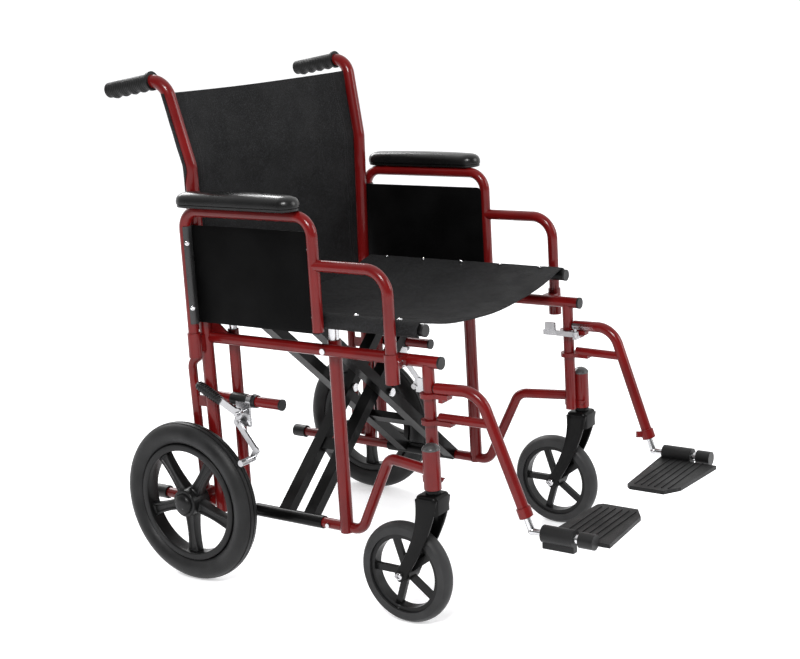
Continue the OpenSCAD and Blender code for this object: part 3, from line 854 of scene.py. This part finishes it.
@dataclass
class SeatSling:
    """The seat cloth, held round both seat rails."""

    layout: Layout
    thick: float = 0.0028
    sag: float = 0.034
    travel: float = 0.286
    wrap: float = 150.0
    cad_thick: float = 0.0035
    gap: float = 0.0003
    screws: int = 5

    def height(self, x: float, share: float) -> float:
        """Returns the cloth's height above the rail line at a place.

        Args:
            x: Place across.
            share: Place from front, 0, to back, 1.

        Returns:
            Height in metres.
        """
        side = abs(x) / self.layout.rail_x
        dip = -self.sag * (1 - side ** 2) * (0.93 + 0.07 * math.cos(math.pi * (share - 0.4)))
        pull = math.exp(-(1 - side) * self.layout.rail_x / 0.05)
        pucker = 0.0011 * pull * math.cos(2 * math.pi * share * self.screws) * (1 - pull) * 3
        ripple = 0.0014 * math.sin(x * 27 + share * 6) * math.sin(share * 13 + x * 8)
        ripple *= 1 - side ** 4
        hem = 0.0007 * math.exp(-((share - 0.035) / 0.006) ** 2)
        return dip + pucker + ripple - hem

    def centre(self) -> bpy.types.Object:
        """Returns the cloth between the rails."""
        low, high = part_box("seat_sling")
        at = self.layout
        top = high.z - self.thick
        front, length = low.y, high.y - low.y
        piece = Bench.grid("seat_sling_cloth", 72, 64)

        def shape(point: Vector) -> Vector:
            """Hangs a point of the flat grid between the rails."""
            x = (point.x * 2 - 1) * at.rail_x
            return Vector((x, front + point.y * length, top + self.height(x, point.y)))

        Bench.push(piece, shape)
        Bench.modify(piece, "SOLIDIFY", thickness=self.thick, offset=1.0)
        return Bench.dress(piece, SEAT_CLOTH, 50)

    def hem_round(self, side: Side) -> bpy.types.Object:
        """Makes the cloth that wraps over and under one rail.

        Args:
            side: The side it is on.

        Returns:
            The new piece.
        """
        low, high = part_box("seat_sling")
        at = self.layout
        radius = high.z - self.thick - self.rail_height()
        piece = Bench.grid(f"seat_sling_{side.word}_hem", 18, 64)

        def shape(point: Vector) -> Vector:
            """Wraps a point of the flat grid round the rail."""
            turn = math.radians(90 - self.wrap * point.x)
            bulge = math.sin(point.y * 2 * math.pi * self.screws) * math.sin(point.x * math.pi)
            r = radius + 0.0007 * bulge
            x = at.rail_x + r * math.cos(turn)
            return Vector((side.value * x, low.y + point.y * (high.y - low.y),
                           self.rail_height() + r * math.sin(turn)))

        Bench.push(piece, shape)
        Bench.thicken(piece, self.thick, float(side.value))
        return Bench.dress(piece, SEAT_CLOTH, 50)

    def rail_height(self) -> float:
        """Returns the height of the seat rails' centre line."""
        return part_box("seat_sling")[1].z - self.cad_thick - self.gap - self.layout.rail_r

    def build(self) -> None:
        """Makes the cloth, its hems and its screws."""
        low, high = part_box("seat_sling")
        cloth = self.centre()
        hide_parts("seat_sling")
        hems = [self.hem_round(side) for side in Side]
        for side, hem in zip(Side, hems):
            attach(hem, f"{side.word}_seat_rail")
            for i in range(self.screws):
                y = low.y + (high.y - low.y) * (i + 0.5) / self.screws
                spot = Vector((side.value * (self.layout.rail_x - 0.004), y, high.z - 0.001))
                name = f"seat_screw_{side.word}_{i}"
                head = Screw(0.0052, 0.0022).make(name, spot, Vector((0, 0, 1)))
                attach(head, f"{side.word}_seat_rail")
        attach(cloth, "right_seat_rail")
        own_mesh(cloth)
        LOG.info("seat sling made")


@dataclass
class Screw:
    """A pan-head screw with a socket."""

    radius: float = 0.0045
    rise: float = 0.002

    def make(self, name: str, place: Vector, way: Vector) -> bpy.types.Object:
        """Makes the screw head.

        Args:
            name: Name for the object.
            place: Centre of its seat.
            way: Direction it faces.

        Returns:
            The new piece.
        """
        piece = Bench.rod(name, place, place + way * self.rise, self.radius, 24)
        crown = place + way * self.rise
        Bench.pick(piece, Part.FACE, lambda p, n: n.dot(way) > 0.9)
        bpy.ops.mesh.inset(thickness=self.radius * 0.45, depth=self.rise * 0.15)
        bpy.ops.mesh.inset(thickness=self.radius * 0.1, depth=-self.rise * 0.5)
        Bench.leave()
        Bench.bevel(piece, self.rise * 0.35, 3, lambda p, d: (p - crown).length > self.radius * 0.8
                    and abs((p - crown).dot(way)) < self.rise * 0.1 and abs(d.dot(way)) < 0.3)
        return Bench.dress(piece, CHROME)


@dataclass
class BackSling:
    """The back cloth and the sleeves that hold it on the canes."""

    layout: Layout
    thick: float = 0.003
    bow: float = 0.012
    edge: float = 0.0125
    travel: float = 0.286
    wrap: tuple[float, float] = (-8.0, 150.0)
    tuck: float = 52.0
    clear: float = 0.765
    tuck_over: float = 0.022
    behind: float = 0.0062
    sleeve_r: float = 0.0136
    sleeve_thick: float = 0.0012
    kink_up: float = 0.317
    top_up: float = 0.476

    def cane(self, z: float) -> Vector:
        """Finds the left cane's centre.

        Args:
            z: Height.

        Returns:
            The centre at that height.
        """
        at = self.layout
        kink_z, top_z = at.rail_z + self.kink_up, at.rail_z + self.top_up
        foot = Vector((at.rail_x - 0.005, at.cane_y + 0.004, at.rail_z - 0.340))
        kink = Vector((at.rail_x + 0.012, at.cane_y - 0.004, kink_z))
        top = Vector((at.rail_x + 0.027, at.cane_y + 0.028, top_z))
        one, two = (foot, kink) if z < kink_z else (kink, top)
        return one.lerp(two, (z - one.z) / (two.z - one.z))

    def centre(self) -> bpy.types.Object:
        """Returns the cloth between the canes."""
        low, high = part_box("back_sling")
        piece = Bench.grid("back_sling_cloth", 72, 64)

        def shape(point: Vector) -> Vector:
            """Hangs a point of the flat grid between the canes."""
            z = low.z + point.y * (high.z - low.z)
            cane = self.cane(z)
            side = point.x * 2 - 1
            x = side * (cane.x - self.edge)
            inner = 1 - side ** 2
            edge = math.exp(-(1 - abs(side)) * 9)
            sag = 0.004 * inner * point.y ** 8
            fold = 0.0016 * math.sin(point.y * 19 + abs(side) * 4) * edge * (1 - edge) * 3
            drape = 0.0022 * math.sin(x * 17) * math.sin(point.y * 7) * inner
            ridge = 0.0012 * math.exp(-((abs(x) - 0.2175) / 0.0028) ** 2)
            band = 0.0008 if point.y > 0.93 else 0.0
            bow = self.bow * inner * (0.35 + 0.65 * point.y)
            y = cane.y + self.behind + bow + fold + drape - ridge - band
            return Vector((x, y, z - sag))

        Bench.push(piece, shape)
        Bench.modify(piece, "SOLIDIFY", thickness=self.thick, offset=0.0)
        return Bench.dress(piece, BACK_CLOTH, 50)

    def sleeve(self, side: Side) -> bpy.types.Object:
        """Makes the cloth that wraps the rear of one cane.

        Args:
            side: The side it is on.

        Returns:
            The new piece.
        """
        low, high = (corner.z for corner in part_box("back_sling"))
        piece = Bench.grid(f"back_sling_{side.word}_sleeve", 32, 40)

        def shape(point: Vector) -> Vector:
            """Wraps a point of the flat grid round the cane."""
            z = low + point.y * (high - low)
            cane = self.cane(z)
            tucked = max(0.0, min(1.0, (self.clear - z) / self.tuck_over))
            first = self.wrap[0] + self.tuck * tucked
            turn = math.radians(first + point.x * (self.wrap[1] - first))
            soft = 0.0004 * math.sin(point.y * 23 + turn * 2) + 0.0003 * math.sin(point.y * 51)
            r = self.sleeve_r + max(0.0, soft)
            x = cane.x + r * math.cos(turn)
            return Vector((side.value * x, cane.y + r * math.sin(turn), z))

        Bench.push(piece, shape)
        Bench.thicken(piece, self.sleeve_thick, -1.0 * side.value)
        return Bench.dress(piece, BACK_CLOTH, 60)

    def build(self) -> None:
        """Makes the cloth and both sleeves."""
        cloth = self.centre()
        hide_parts("back_sling")
        sleeves = [self.sleeve(side) for side in Side]
        for side, sleeve in zip(Side, sleeves):
            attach(sleeve, f"{side.word}_frame")
        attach(cloth, "right_frame")
        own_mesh(cloth)
        LOG.info("back sling made")


@dataclass
class ArmPads:
    """Skinned foam pads with a parting lip and a crowned top."""

    sides: int = 96
    arch: float = 0.16
    lift: float = 0.003
    lip: float = 0.27
    rings: tuple[tuple[float, float], ...] = (
        (0.0, 0.0035), (0.05, 0.0012), (0.2, 0.0012), (0.225, 0.0038), (0.25, 0.0038),
        (0.275, 0.0), (0.46, 0.0), (0.6, 0.0008),
        (0.72, 0.0022), (0.82, 0.0045), (0.9, 0.0078), (0.955, 0.012), (0.985, 0.0165),
        (1.0, 0.021), (1.0, 1.0))

    @staticmethod
    def outline(turn: float, radius: float, straight: float) -> tuple[float, float]:
        """Returns a point of a long round-ended outline.

        Args:
            turn: Place round it, from 0 to 1.
            radius: Radius of the ends.
            straight: Half the length of the straight sides.

        Returns:
            Place across and along.
        """
        quarter, step = int(turn * 4) % 4, (turn * 4) % 1.0
        slide = straight * (2 * step - 1)
        bend = math.pi * step
        return (
            (radius, slide),
            (radius * math.cos(bend), straight + radius * math.sin(bend)),
            (-radius, -slide),
            (-radius * math.cos(bend), -straight - radius * math.sin(bend)),
        )[quarter]

    def pad(self) -> bpy.types.Object:
        """Returns the left pad."""
        low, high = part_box("left_arm_pad")
        middle = (low + high) / 2
        radius = (high.x - low.x) / 2
        straight = (high.y - low.y) / 2 - radius
        steps = len(self.rings) - 1
        piece = Bench.rod("left_arm_cushion", Vector(), Vector((0, 0, 1)), 1.0, self.sides)
        Bench.cuts(piece, steps - 1, upright)
        Bench.pick(piece, Part.FACE, lambda p, n: n.z > 0.9)
        bpy.ops.mesh.delete(type="ONLY_FACE")
        Bench.leave()

        def shape(point: Vector) -> Vector:
            """Moves a point of the plain rod to the pad's surface."""
            share, inset = self.rings[round(point.z * steps)]
            spot = round(math.atan2(point.y, point.x) / (2 * math.pi) * self.sides) % self.sides
            x, y = self.outline(spot / self.sides, max(0.0, radius - inset), straight)
            crown = 1.1 - self.arch * abs(y / (straight + radius)) ** 2.2
            lip = min(share, self.lip)
            z = low.z + (high.z - low.z) * (lip + (share - lip) * crown) + self.lift * (share - lip)
            return Vector((middle.x + x, middle.y + y, z))

        Bench.push(piece, shape)
        Bench.weld(piece, 0.00002)
        return Bench.dress(piece, PAD_SKIN, 40)

    def build(self) -> None:
        """Makes both pads."""
        for piece in fit_pairs([self.pad()], "armrest", "arm_pad"):
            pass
        LOG.info("arm pads made")


@dataclass
class SkirtPanels:
    """Side panels with a half-round strip folded round the rear post."""

    layout: Layout
    sheet: float = 0.0022
    wrap: tuple[float, float] = (-142.0, -24.0)
    screw_turn: float = -52.0
    screw_edge: float = 0.03
    screw_in: float = 0.014

    def panel(self) -> bpy.types.Object:
        """Returns the flat left panel."""
        low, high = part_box("left_skirt")
        corner = Vector((low.x + self.sheet, high.y - 0.004, high.z))
        piece = Bench.block("left_side_panel", low, corner)
        Bench.bevel(piece, 0.008, 6, lambda p, d: abs(d.x) > 0.9)
        Bench.modify(piece, "BEVEL", width=0.0006, segments=2, limit_method="ANGLE")
        return Bench.dress(piece, PANEL_SKIN)

    def strip(self) -> bpy.types.Object:
        """Returns the half-round strip round the left rear post."""
        low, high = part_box("left_skirt")
        at = self.layout
        post = Vector((at.arm_x, at.cane_y, 0))
        outer = high.y - at.cane_y
        piece = Bench.grid("left_panel_strip", 40, 8)

        def shape(point: Vector) -> Vector:
            """Wraps a point of the flat grid round the post."""
            turn = math.radians(self.wrap[0] + (self.wrap[1] - self.wrap[0]) * point.x)
            r = outer - 0.0002
            return post + Vector((r * math.cos(turn), r * math.sin(turn),
                                  low.z + point.y * (high.z - low.z)))

        Bench.push(piece, shape)
        Bench.thicken(piece, self.sheet, -1.0)
        return Bench.dress(piece, STRIP_SKIN)

    def build(self) -> None:
        """Makes panels, strips and screws on both sides."""
        low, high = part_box("left_skirt")
        at = self.layout
        made = [self.panel(), self.strip()]
        for i, z in enumerate((low.z + self.screw_edge, high.z - self.screw_edge)):
            turn = math.radians(self.screw_turn)
            way = Vector((math.cos(turn), math.sin(turn), 0))
            rear = Vector((at.arm_x, at.cane_y, z)) + way * (high.y - at.cane_y - 0.0003)
            made.append(Screw().make(f"left_panel_screw_{i}", rear, way))
            front = Vector((low.x + self.sheet, low.y + self.screw_in, z))
            made.append(Screw().make(f"left_panel_screw_{i + 2}", front, Vector((1, 0, 0))))
        fit_pairs(made, "armrest", "skirt")
        LOG.info("side panels made")


@dataclass
class PushGrips:
    """Rubber hand grips with finger lobes underneath and a front flange."""

    layout: Layout
    length: float = 0.112
    beyond: float = 0.006
    radius: float = 0.0138
    lobe: float = 0.0036
    flange: float = 0.0175
    flange_thick: float = 0.005
    finger_pitch: float = 0.0225
    fingers: tuple[float, float] = (0.012, 0.102)
    rib_pitch: float = 0.0045
    end_round: float = 0.005
    tip: tuple[float, float, float] = (0.030, 0.160, 0.456)
    slope: tuple[float, float, float] = (3.0, 132.0, -20.0)

    def profile(self, along: float, under: float) -> float:
        """Returns the radius at a place.

        Args:
            along: Distance from the front end.
            under: 1 on the underside, 0 or less on top.

        Returns:
            Radius in metres.
        """
        if along < self.flange_thick:
            return self.flange
        first, last = self.fingers
        waves = 0.5 - 0.5 * math.cos(2 * math.pi * (along - first) / self.finger_pitch)
        finger = self.lobe * waves * max(0.0, under) ** 1.5 if first < along < last else 0.0
        rib = 0.0004 * math.cos(2 * math.pi * along / self.rib_pitch)
        return (self.radius + finger + rib) * rounded(along, self.length, self.end_round)

    def grip(self) -> bpy.types.Object:
        """Returns the left grip."""
        at = self.layout
        way = Vector(self.slope).normalized()
        end = Vector((at.rail_x, at.cane_y, at.rail_z)) + Vector(self.tip)
        start = end - way * (self.length - self.beyond)
        piece = Bench.turned("left_hand_grip", start, way, self.length, (56, 96), self.profile)
        return Bench.dress(piece, GRIP_RUBBER, 50)

    def build(self) -> None:
        """Makes both grips."""
        fit_pairs([self.grip()], "frame", "grip")
        LOG.info("push grips made")


@dataclass
class BrakeGrips:
    """Ribbed rubber grips on the brake levers."""

    radius: float = 0.009
    tilt: float = 26.0
    length: float = 0.061
    rib_pitch: float = 0.005
    end_round: float = 0.009

    def profile(self, along: float, under: float) -> float:
        """Returns the radius at a place.

        Args:
            along: Distance from the front end.
            under: How far the surface faces down, which changes nothing here.

        Returns:
            Radius in metres.
        """
        rib = 0.0008 * math.cos(2 * math.pi * along / self.rib_pitch)
        swell = 0.0012 * math.sin(math.pi * along / self.length)
        radius = self.radius - 0.001 + rib + swell
        return radius * rounded(along, self.length, self.end_round)

    def grip(self) -> bpy.types.Object:
        """Returns the left grip."""
        low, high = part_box("left_brake_grip")
        way = Vector((0, math.cos(math.radians(self.tilt)), math.sin(math.radians(self.tilt))))
        start = (low + high) / 2 - way * self.length / 2
        piece = Bench.turned("left_lever_grip", start, way, self.length, (36, 60), self.profile)
        return Bench.dress(piece, BRAKE_GRIP, 50)

    def build(self) -> None:
        """Makes both grips."""
        fit_pairs([self.grip()], "brake_lever", "brake_grip")
        LOG.info("brake grips made")


@dataclass
class RearRims:
    """Moulded five-spoke rear rims with a domed hub cap."""

    layout: Layout
    bed: float = 0.1124
    wall: float = 0.013
    hub: float = 0.026
    bore: float = 0.0065
    rim_half: float = 0.015
    hub_half: float = 0.022
    spoke_half: tuple[float, float] = (0.0085, 0.0125)
    cap_r: float = 0.02
    cap_seat: float = 0.0222
    spokes: int = 5

    def ring(self, name: str, outer: float, inner: float, half: float) -> bpy.types.Object:
        """Makes a flat ring round the left axle.

        Args:
            name: Name for the object.
            outer: Outer radius.
            inner: Inner radius.
            half: Half its width.

        Returns:
            The new piece.
        """
        rear = self.layout.rear
        piece = Bench.grid(name, 96, 4)
        corners = ((outer, -half), (outer, half), (inner, half), (inner, -half), (outer, -half))

        def shape(point: Vector) -> Vector:
            """Rolls a point of the flat grid into the ring."""
            turn = 2 * math.pi * point.x
            r, x = corners[round(point.y * 4)]
            return rear + Vector((x, r * math.cos(turn), r * math.sin(turn)))

        Bench.push(piece, shape)
        Bench.weld(piece, 0.00005)
        Bench.modify(piece, "BEVEL", width=0.0022, segments=3, limit_method="ANGLE")
        return Bench.dress(piece, RIM)

    def spoke(self, index: int) -> bpy.types.Object:
        """Makes one tapered spoke, turned to its place.

        Args:
            index: Its number round the hub.

        Returns:
            The new piece.
        """
        rear = self.layout.rear
        inner, outer = self.hub - 0.003, self.bed - self.wall + 0.002
        thick, wide = self.spoke_half
        piece = Bench.block(f"left_spoke_{index}", Vector((-thick, inner, -wide)),
                            Vector((thick, outer, wide)))
        Bench.cuts(piece, 10, lambda p, d: abs(d.y) > 0.9)

        def shape(point: Vector) -> Vector:
            """Tapers the block along its length."""
            share = (point.y - inner) / (outer - inner)
            flare = 0.72 + 1.1 * (share - 0.45) ** 2
            return Vector((point.x * (1.15 - 0.3 * share), point.y, point.z * flare))

        Bench.push(piece, shape)
        Bench.pick(piece, Part.FACE, lambda p, n: abs(n.x) > 0.9)
        bpy.ops.mesh.inset(thickness=0.004, depth=0.0)
        bpy.ops.mesh.inset(thickness=0.0015, depth=-0.0025)
        Bench.leave()
        Bench.modify(piece, "BEVEL", width=0.0012, segments=2, limit_method="ANGLE")
        turn = Matrix.Rotation(math.radians(index * 360 / self.spokes - 90), 4, "X")
        Bench.push(piece, lambda p: rear + turn @ p)
        return Bench.dress(piece, RIM)

    def cap(self) -> bpy.types.Object:
        """Returns the domed hub cap."""
        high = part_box("left_rear_rim")[1].x
        rear = self.layout.rear
        start = Vector((rear.x + self.cap_seat, rear.y, rear.z))
        end = Vector((high, rear.y, rear.z))
        piece = Bench.rod("left_hub_cap", start, end, self.cap_r, 48)
        Bench.pick(piece, Part.FACE, lambda p, n: n.x > 0.9)
        for thick in (0.003, 0.004, 0.005):
            bpy.ops.mesh.inset(thickness=thick, depth=0.0)
        Bench.leave()
        span = high - start.x

        def dome(point: Vector) -> Vector:
            """Raises the outer face into a dome."""
            if point.x < start.x + span * 0.5:
                return point
            reach = math.hypot(point.y - rear.y, point.z - rear.z) / self.cap_r
            rise = 0.25 + 0.75 * math.sqrt(max(0, 1 - reach ** 2))
            return Vector((start.x + span * rise, point.y, point.z))

        Bench.push(piece, dome)
        return Bench.dress(piece, RIM, 50)

    def build(self) -> None:
        """Makes both rims, their spokes and caps."""
        made = [self.ring("left_rim_ring", self.bed, self.bed - self.wall, self.rim_half),
                self.ring("left_rim_hub", self.hub, self.bore, self.hub_half), self.cap()]
        made += [self.spoke(i) for i in range(self.spokes)]
        fit_pairs(made, "rear_wheel", "rear_rim")
        LOG.info("rear rims made")


@dataclass
class CasterForks:
    """Pressed caster forks: a rounded crown over two curved legs, with axle and collar."""

    layout: Layout
    trail: float = 0.063
    inner: float = 0.0176
    plate: float = 0.0058
    crown: float = 0.032
    collar: float = 0.0135
    axle: float = 0.004
    axle_beyond: float = 0.0014
    column_gap: float = 0.008
    steps: int = 18

    def leg(self, index: int) -> bpy.types.Object:
        """Makes one leg.

        Args:
            index: 0 for the inner side, 1 for the outer side.

        Returns:
            The new piece.
        """
        wheel = self.layout.caster
        top = self.top() - 0.006
        piece = Bench.block(f"left_fork_leg_{index}", Vector((0, -1, 0)), Vector((1, 1, 1)))
        Bench.cuts(piece, self.steps, upright)
        way = 1 if index else -1
        foot = wheel.z - 0.012

        def shape(point: Vector) -> Vector:
            """Bends the unit block into the leg."""
            share = 1 - point.z
            z = top + (foot - top) * share
            sweep = min(1.0, (top - z) / (top - wheel.z))
            middle = wheel.y - self.trail + 0.002 + (self.trail - 0.002) * sweep ** 1.8
            half = 0.0215 - 0.0085 * sweep ** 0.8 - 0.0022 * math.sin(math.pi * sweep)
            below = max(0.0, (wheel.z - z) / 0.0125)
            half *= math.sqrt(max(0.02, 1 - below ** 2))
            flare = 0.0016 * math.sin(math.pi * sweep)
            x = self.inner + flare + point.x * self.plate
            return Vector((wheel.x + way * x, middle + point.y * half, z))

        Bench.push(piece, shape)
        Bench.outward(piece)
        Bench.modify(piece, "BEVEL", width=0.0018, segments=3, limit_method="ANGLE")
        return Bench.dress(piece, BLACK, 50)

    def top(self) -> float:
        """Returns the height of the crown's top."""
        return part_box("left_front_column")[0].z - self.column_gap

    def head(self) -> bpy.types.Object:
        """Returns the rounded crown with its closed front."""
        wheel = self.layout.caster
        reach = self.inner + self.plate
        stem = wheel.y - self.trail
        low = Vector((wheel.x - reach, stem - 0.0195, self.top() - self.crown))
        high = Vector((wheel.x + reach, stem + 0.0235, self.top()))
        piece = Bench.block("left_fork_crown", low, high)
        Bench.bevel(piece, 0.009, 6, upright)
        Bench.bevel(piece, 0.006, 5, lambda p, d: p.z > self.top() - 0.0001)
        return Bench.dress(piece, BLACK, 40)

    def build(self) -> None:
        """Makes both forks with their collars, axles and bolts."""
        wheel = self.layout.caster
        stem = wheel.y - self.trail
        reach = self.inner + self.plate
        collar = Bench.rod("left_fork_collar", Vector((wheel.x, stem, self.top() - 0.001)),
                           Vector((wheel.x, stem, self.top() + 0.0077)), self.collar, 40)
        Bench.bevel(collar, 0.001, 2)
        Bench.dress(collar, BLACK, 40)
        half = Vector((reach + self.axle_beyond, 0, 0))
        axle = Bench.rod("left_fork_axle", wheel - half, wheel + half, self.axle, 32)
        Bench.bevel(axle, 0.0005, 2)
        Bench.dress(axle, CHROME, 40)
        made = [self.head(), self.leg(0), self.leg(1), collar, axle]
        for i, way in enumerate((1, -1)):
            spot = wheel + Vector((way * reach, 0, 0))
            nut = Screw(0.0068, 0.0048).make(f"left_fork_nut_{i}", spot, Vector((way, 0, 0)))
            made.append(nut)
        fit_pairs(made, "caster_fork", "caster_fork")
        LOG.info("caster forks made")


# ------------------------------------------------------------------ the studio
@dataclass
class Studio:
    """Floor, lights and camera."""

    floor_size: float = 30.0
    azimuth: float = -56.21
    elevation: float = 11.16
    roll: float = -3.04
    lens: float = 66.74
    shift: tuple[float, float] = (-0.0576, -0.0681)
    stand: tuple[float, float, float] = (-2.21055, -1.54599, 1.07964)
    aim: tuple[float, float, float] = (0, 0, 0.5)

    def floor(self) -> None:
        """Lays a plain pale floor."""
        bpy.ops.object.select_all(action="DESELECT")
        bpy.ops.mesh.primitive_plane_add(size=self.floor_size, location=(0, 0, 0))
        piece = Bench.settle(bpy.context.object, "floor")
        cover = Finish("pale floor", grey(0.82), grey(0.85), (0.6, 0.75), relief=0.00005, worn=0.0,
                       specular=0.2, glow=0.42)
        Bench.dress(piece, cover)

    def lamp(self, name: str, place: tuple, size: tuple[float, float], power: float) -> None:
        """Hangs a soft area lamp that faces the chair.

        Args:
            name: Name for the lamp.
            place: Where it hangs.
            size: Width and height of its face.
            power: Watts.
        """
        data = bpy.data.lights.new(name, "AREA")
        data.shape = "RECTANGLE"
        data.size, data.size_y = size
        data.energy = power
        lamp = bpy.data.objects.new(name, data)
        bpy.context.scene.collection.objects.link(lamp)
        lamp.location = place
        way = Vector(self.aim) - Vector(place)
        lamp.rotation_euler = way.to_track_quat("-Z", "Y").to_euler()

    def camera(self) -> None:
        """Sets up the camera."""
        turn, rise, roll = (math.radians(a) for a in (self.azimuth, self.elevation, self.roll))
        flat = math.cos(rise)
        back = Vector((math.sin(turn) * flat, -math.cos(turn) * flat, math.sin(rise)))
        level = (-back).cross(Vector((0, 0, 1))).normalized()
        upright = level.cross(-back)
        right = level * math.cos(roll) + upright * math.sin(roll)
        up = upright * math.cos(roll) - level * math.sin(roll)
        data = bpy.data.cameras.new("camera")
        data.sensor_width = 36.0
        data.lens = self.lens
        data.shift_x, data.shift_y = self.shift
        camera = bpy.data.objects.new("camera", data)
        bpy.context.scene.collection.objects.link(camera)
        facing = Matrix((right, up, back)).transposed().to_4x4()
        camera.matrix_world = Matrix.Translation(self.stand) @ facing
        bpy.context.scene.camera = camera

    def sky(self) -> None:
        """Makes white studio walls that fall off to grey on the near side."""
        world = bpy.data.worlds.new("sky")
        world.use_nodes = True
        tree = world.node_tree
        place = tree.nodes.new("ShaderNodeTexCoord")
        turn = math.radians(self.azimuth)
        ahead = tree.nodes.new("ShaderNodeVectorMath")
        ahead.operation = "DOT_PRODUCT"
        ahead.inputs[1].default_value = (-math.sin(turn), math.cos(turn), 0.35)
        tree.links.new(place.outputs["Generated"], ahead.inputs[0])
        fall = tree.nodes.new("ShaderNodeMapRange")
        fall.interpolation_type = "SMOOTHSTEP"
        for key, value in (("From Min", -0.35), ("From Max", 0.55),
                           ("To Min", 0.2), ("To Max", 1.06)):
            fall.inputs[key].default_value = value
        tree.links.new(ahead.outputs["Value"], fall.inputs["Value"])
        tree.links.new(fall.outputs[0], tree.nodes["Background"].inputs["Strength"])
        tree.nodes["Background"].inputs["Color"].default_value = (1, 1, 1, 1)
        bpy.context.scene.world = world

    def build(self) -> None:
        """Makes the floor, lamps, sky and camera."""
        self.floor()
        self.sky()
        self.lamp("key", (-3.2, -1.6, 3.4), (1.6, 1.2), 190)
        self.lamp("fill", (1.8, -3.6, 2.2), (2.0, 2.0), 70)
        self.lamp("rim", (1.5, 3.2, 2.8), (2.4, 1.2), 90)
        bpy.context.scene.view_settings.view_transform = "Standard"
        self.camera()
        LOG.info("studio ready")


def main() -> None:
    """Builds the chair's looks in order."""
    logging.basicConfig(level=logging.INFO, format="%(name)s: %(message)s")
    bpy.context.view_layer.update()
    layout = Layout.read()
    SideFrames(layout).build()
    SeatSling(layout).build()
    BackSling(layout).build()
    ArmPads().build()
    SkirtPanels(layout).build()
    PushGrips(layout).build()
    BrakeGrips().build()
    RearRims(layout).build()
    CasterForks(layout).build()
    Studio().build()


if __name__ == "__main__":
    main()
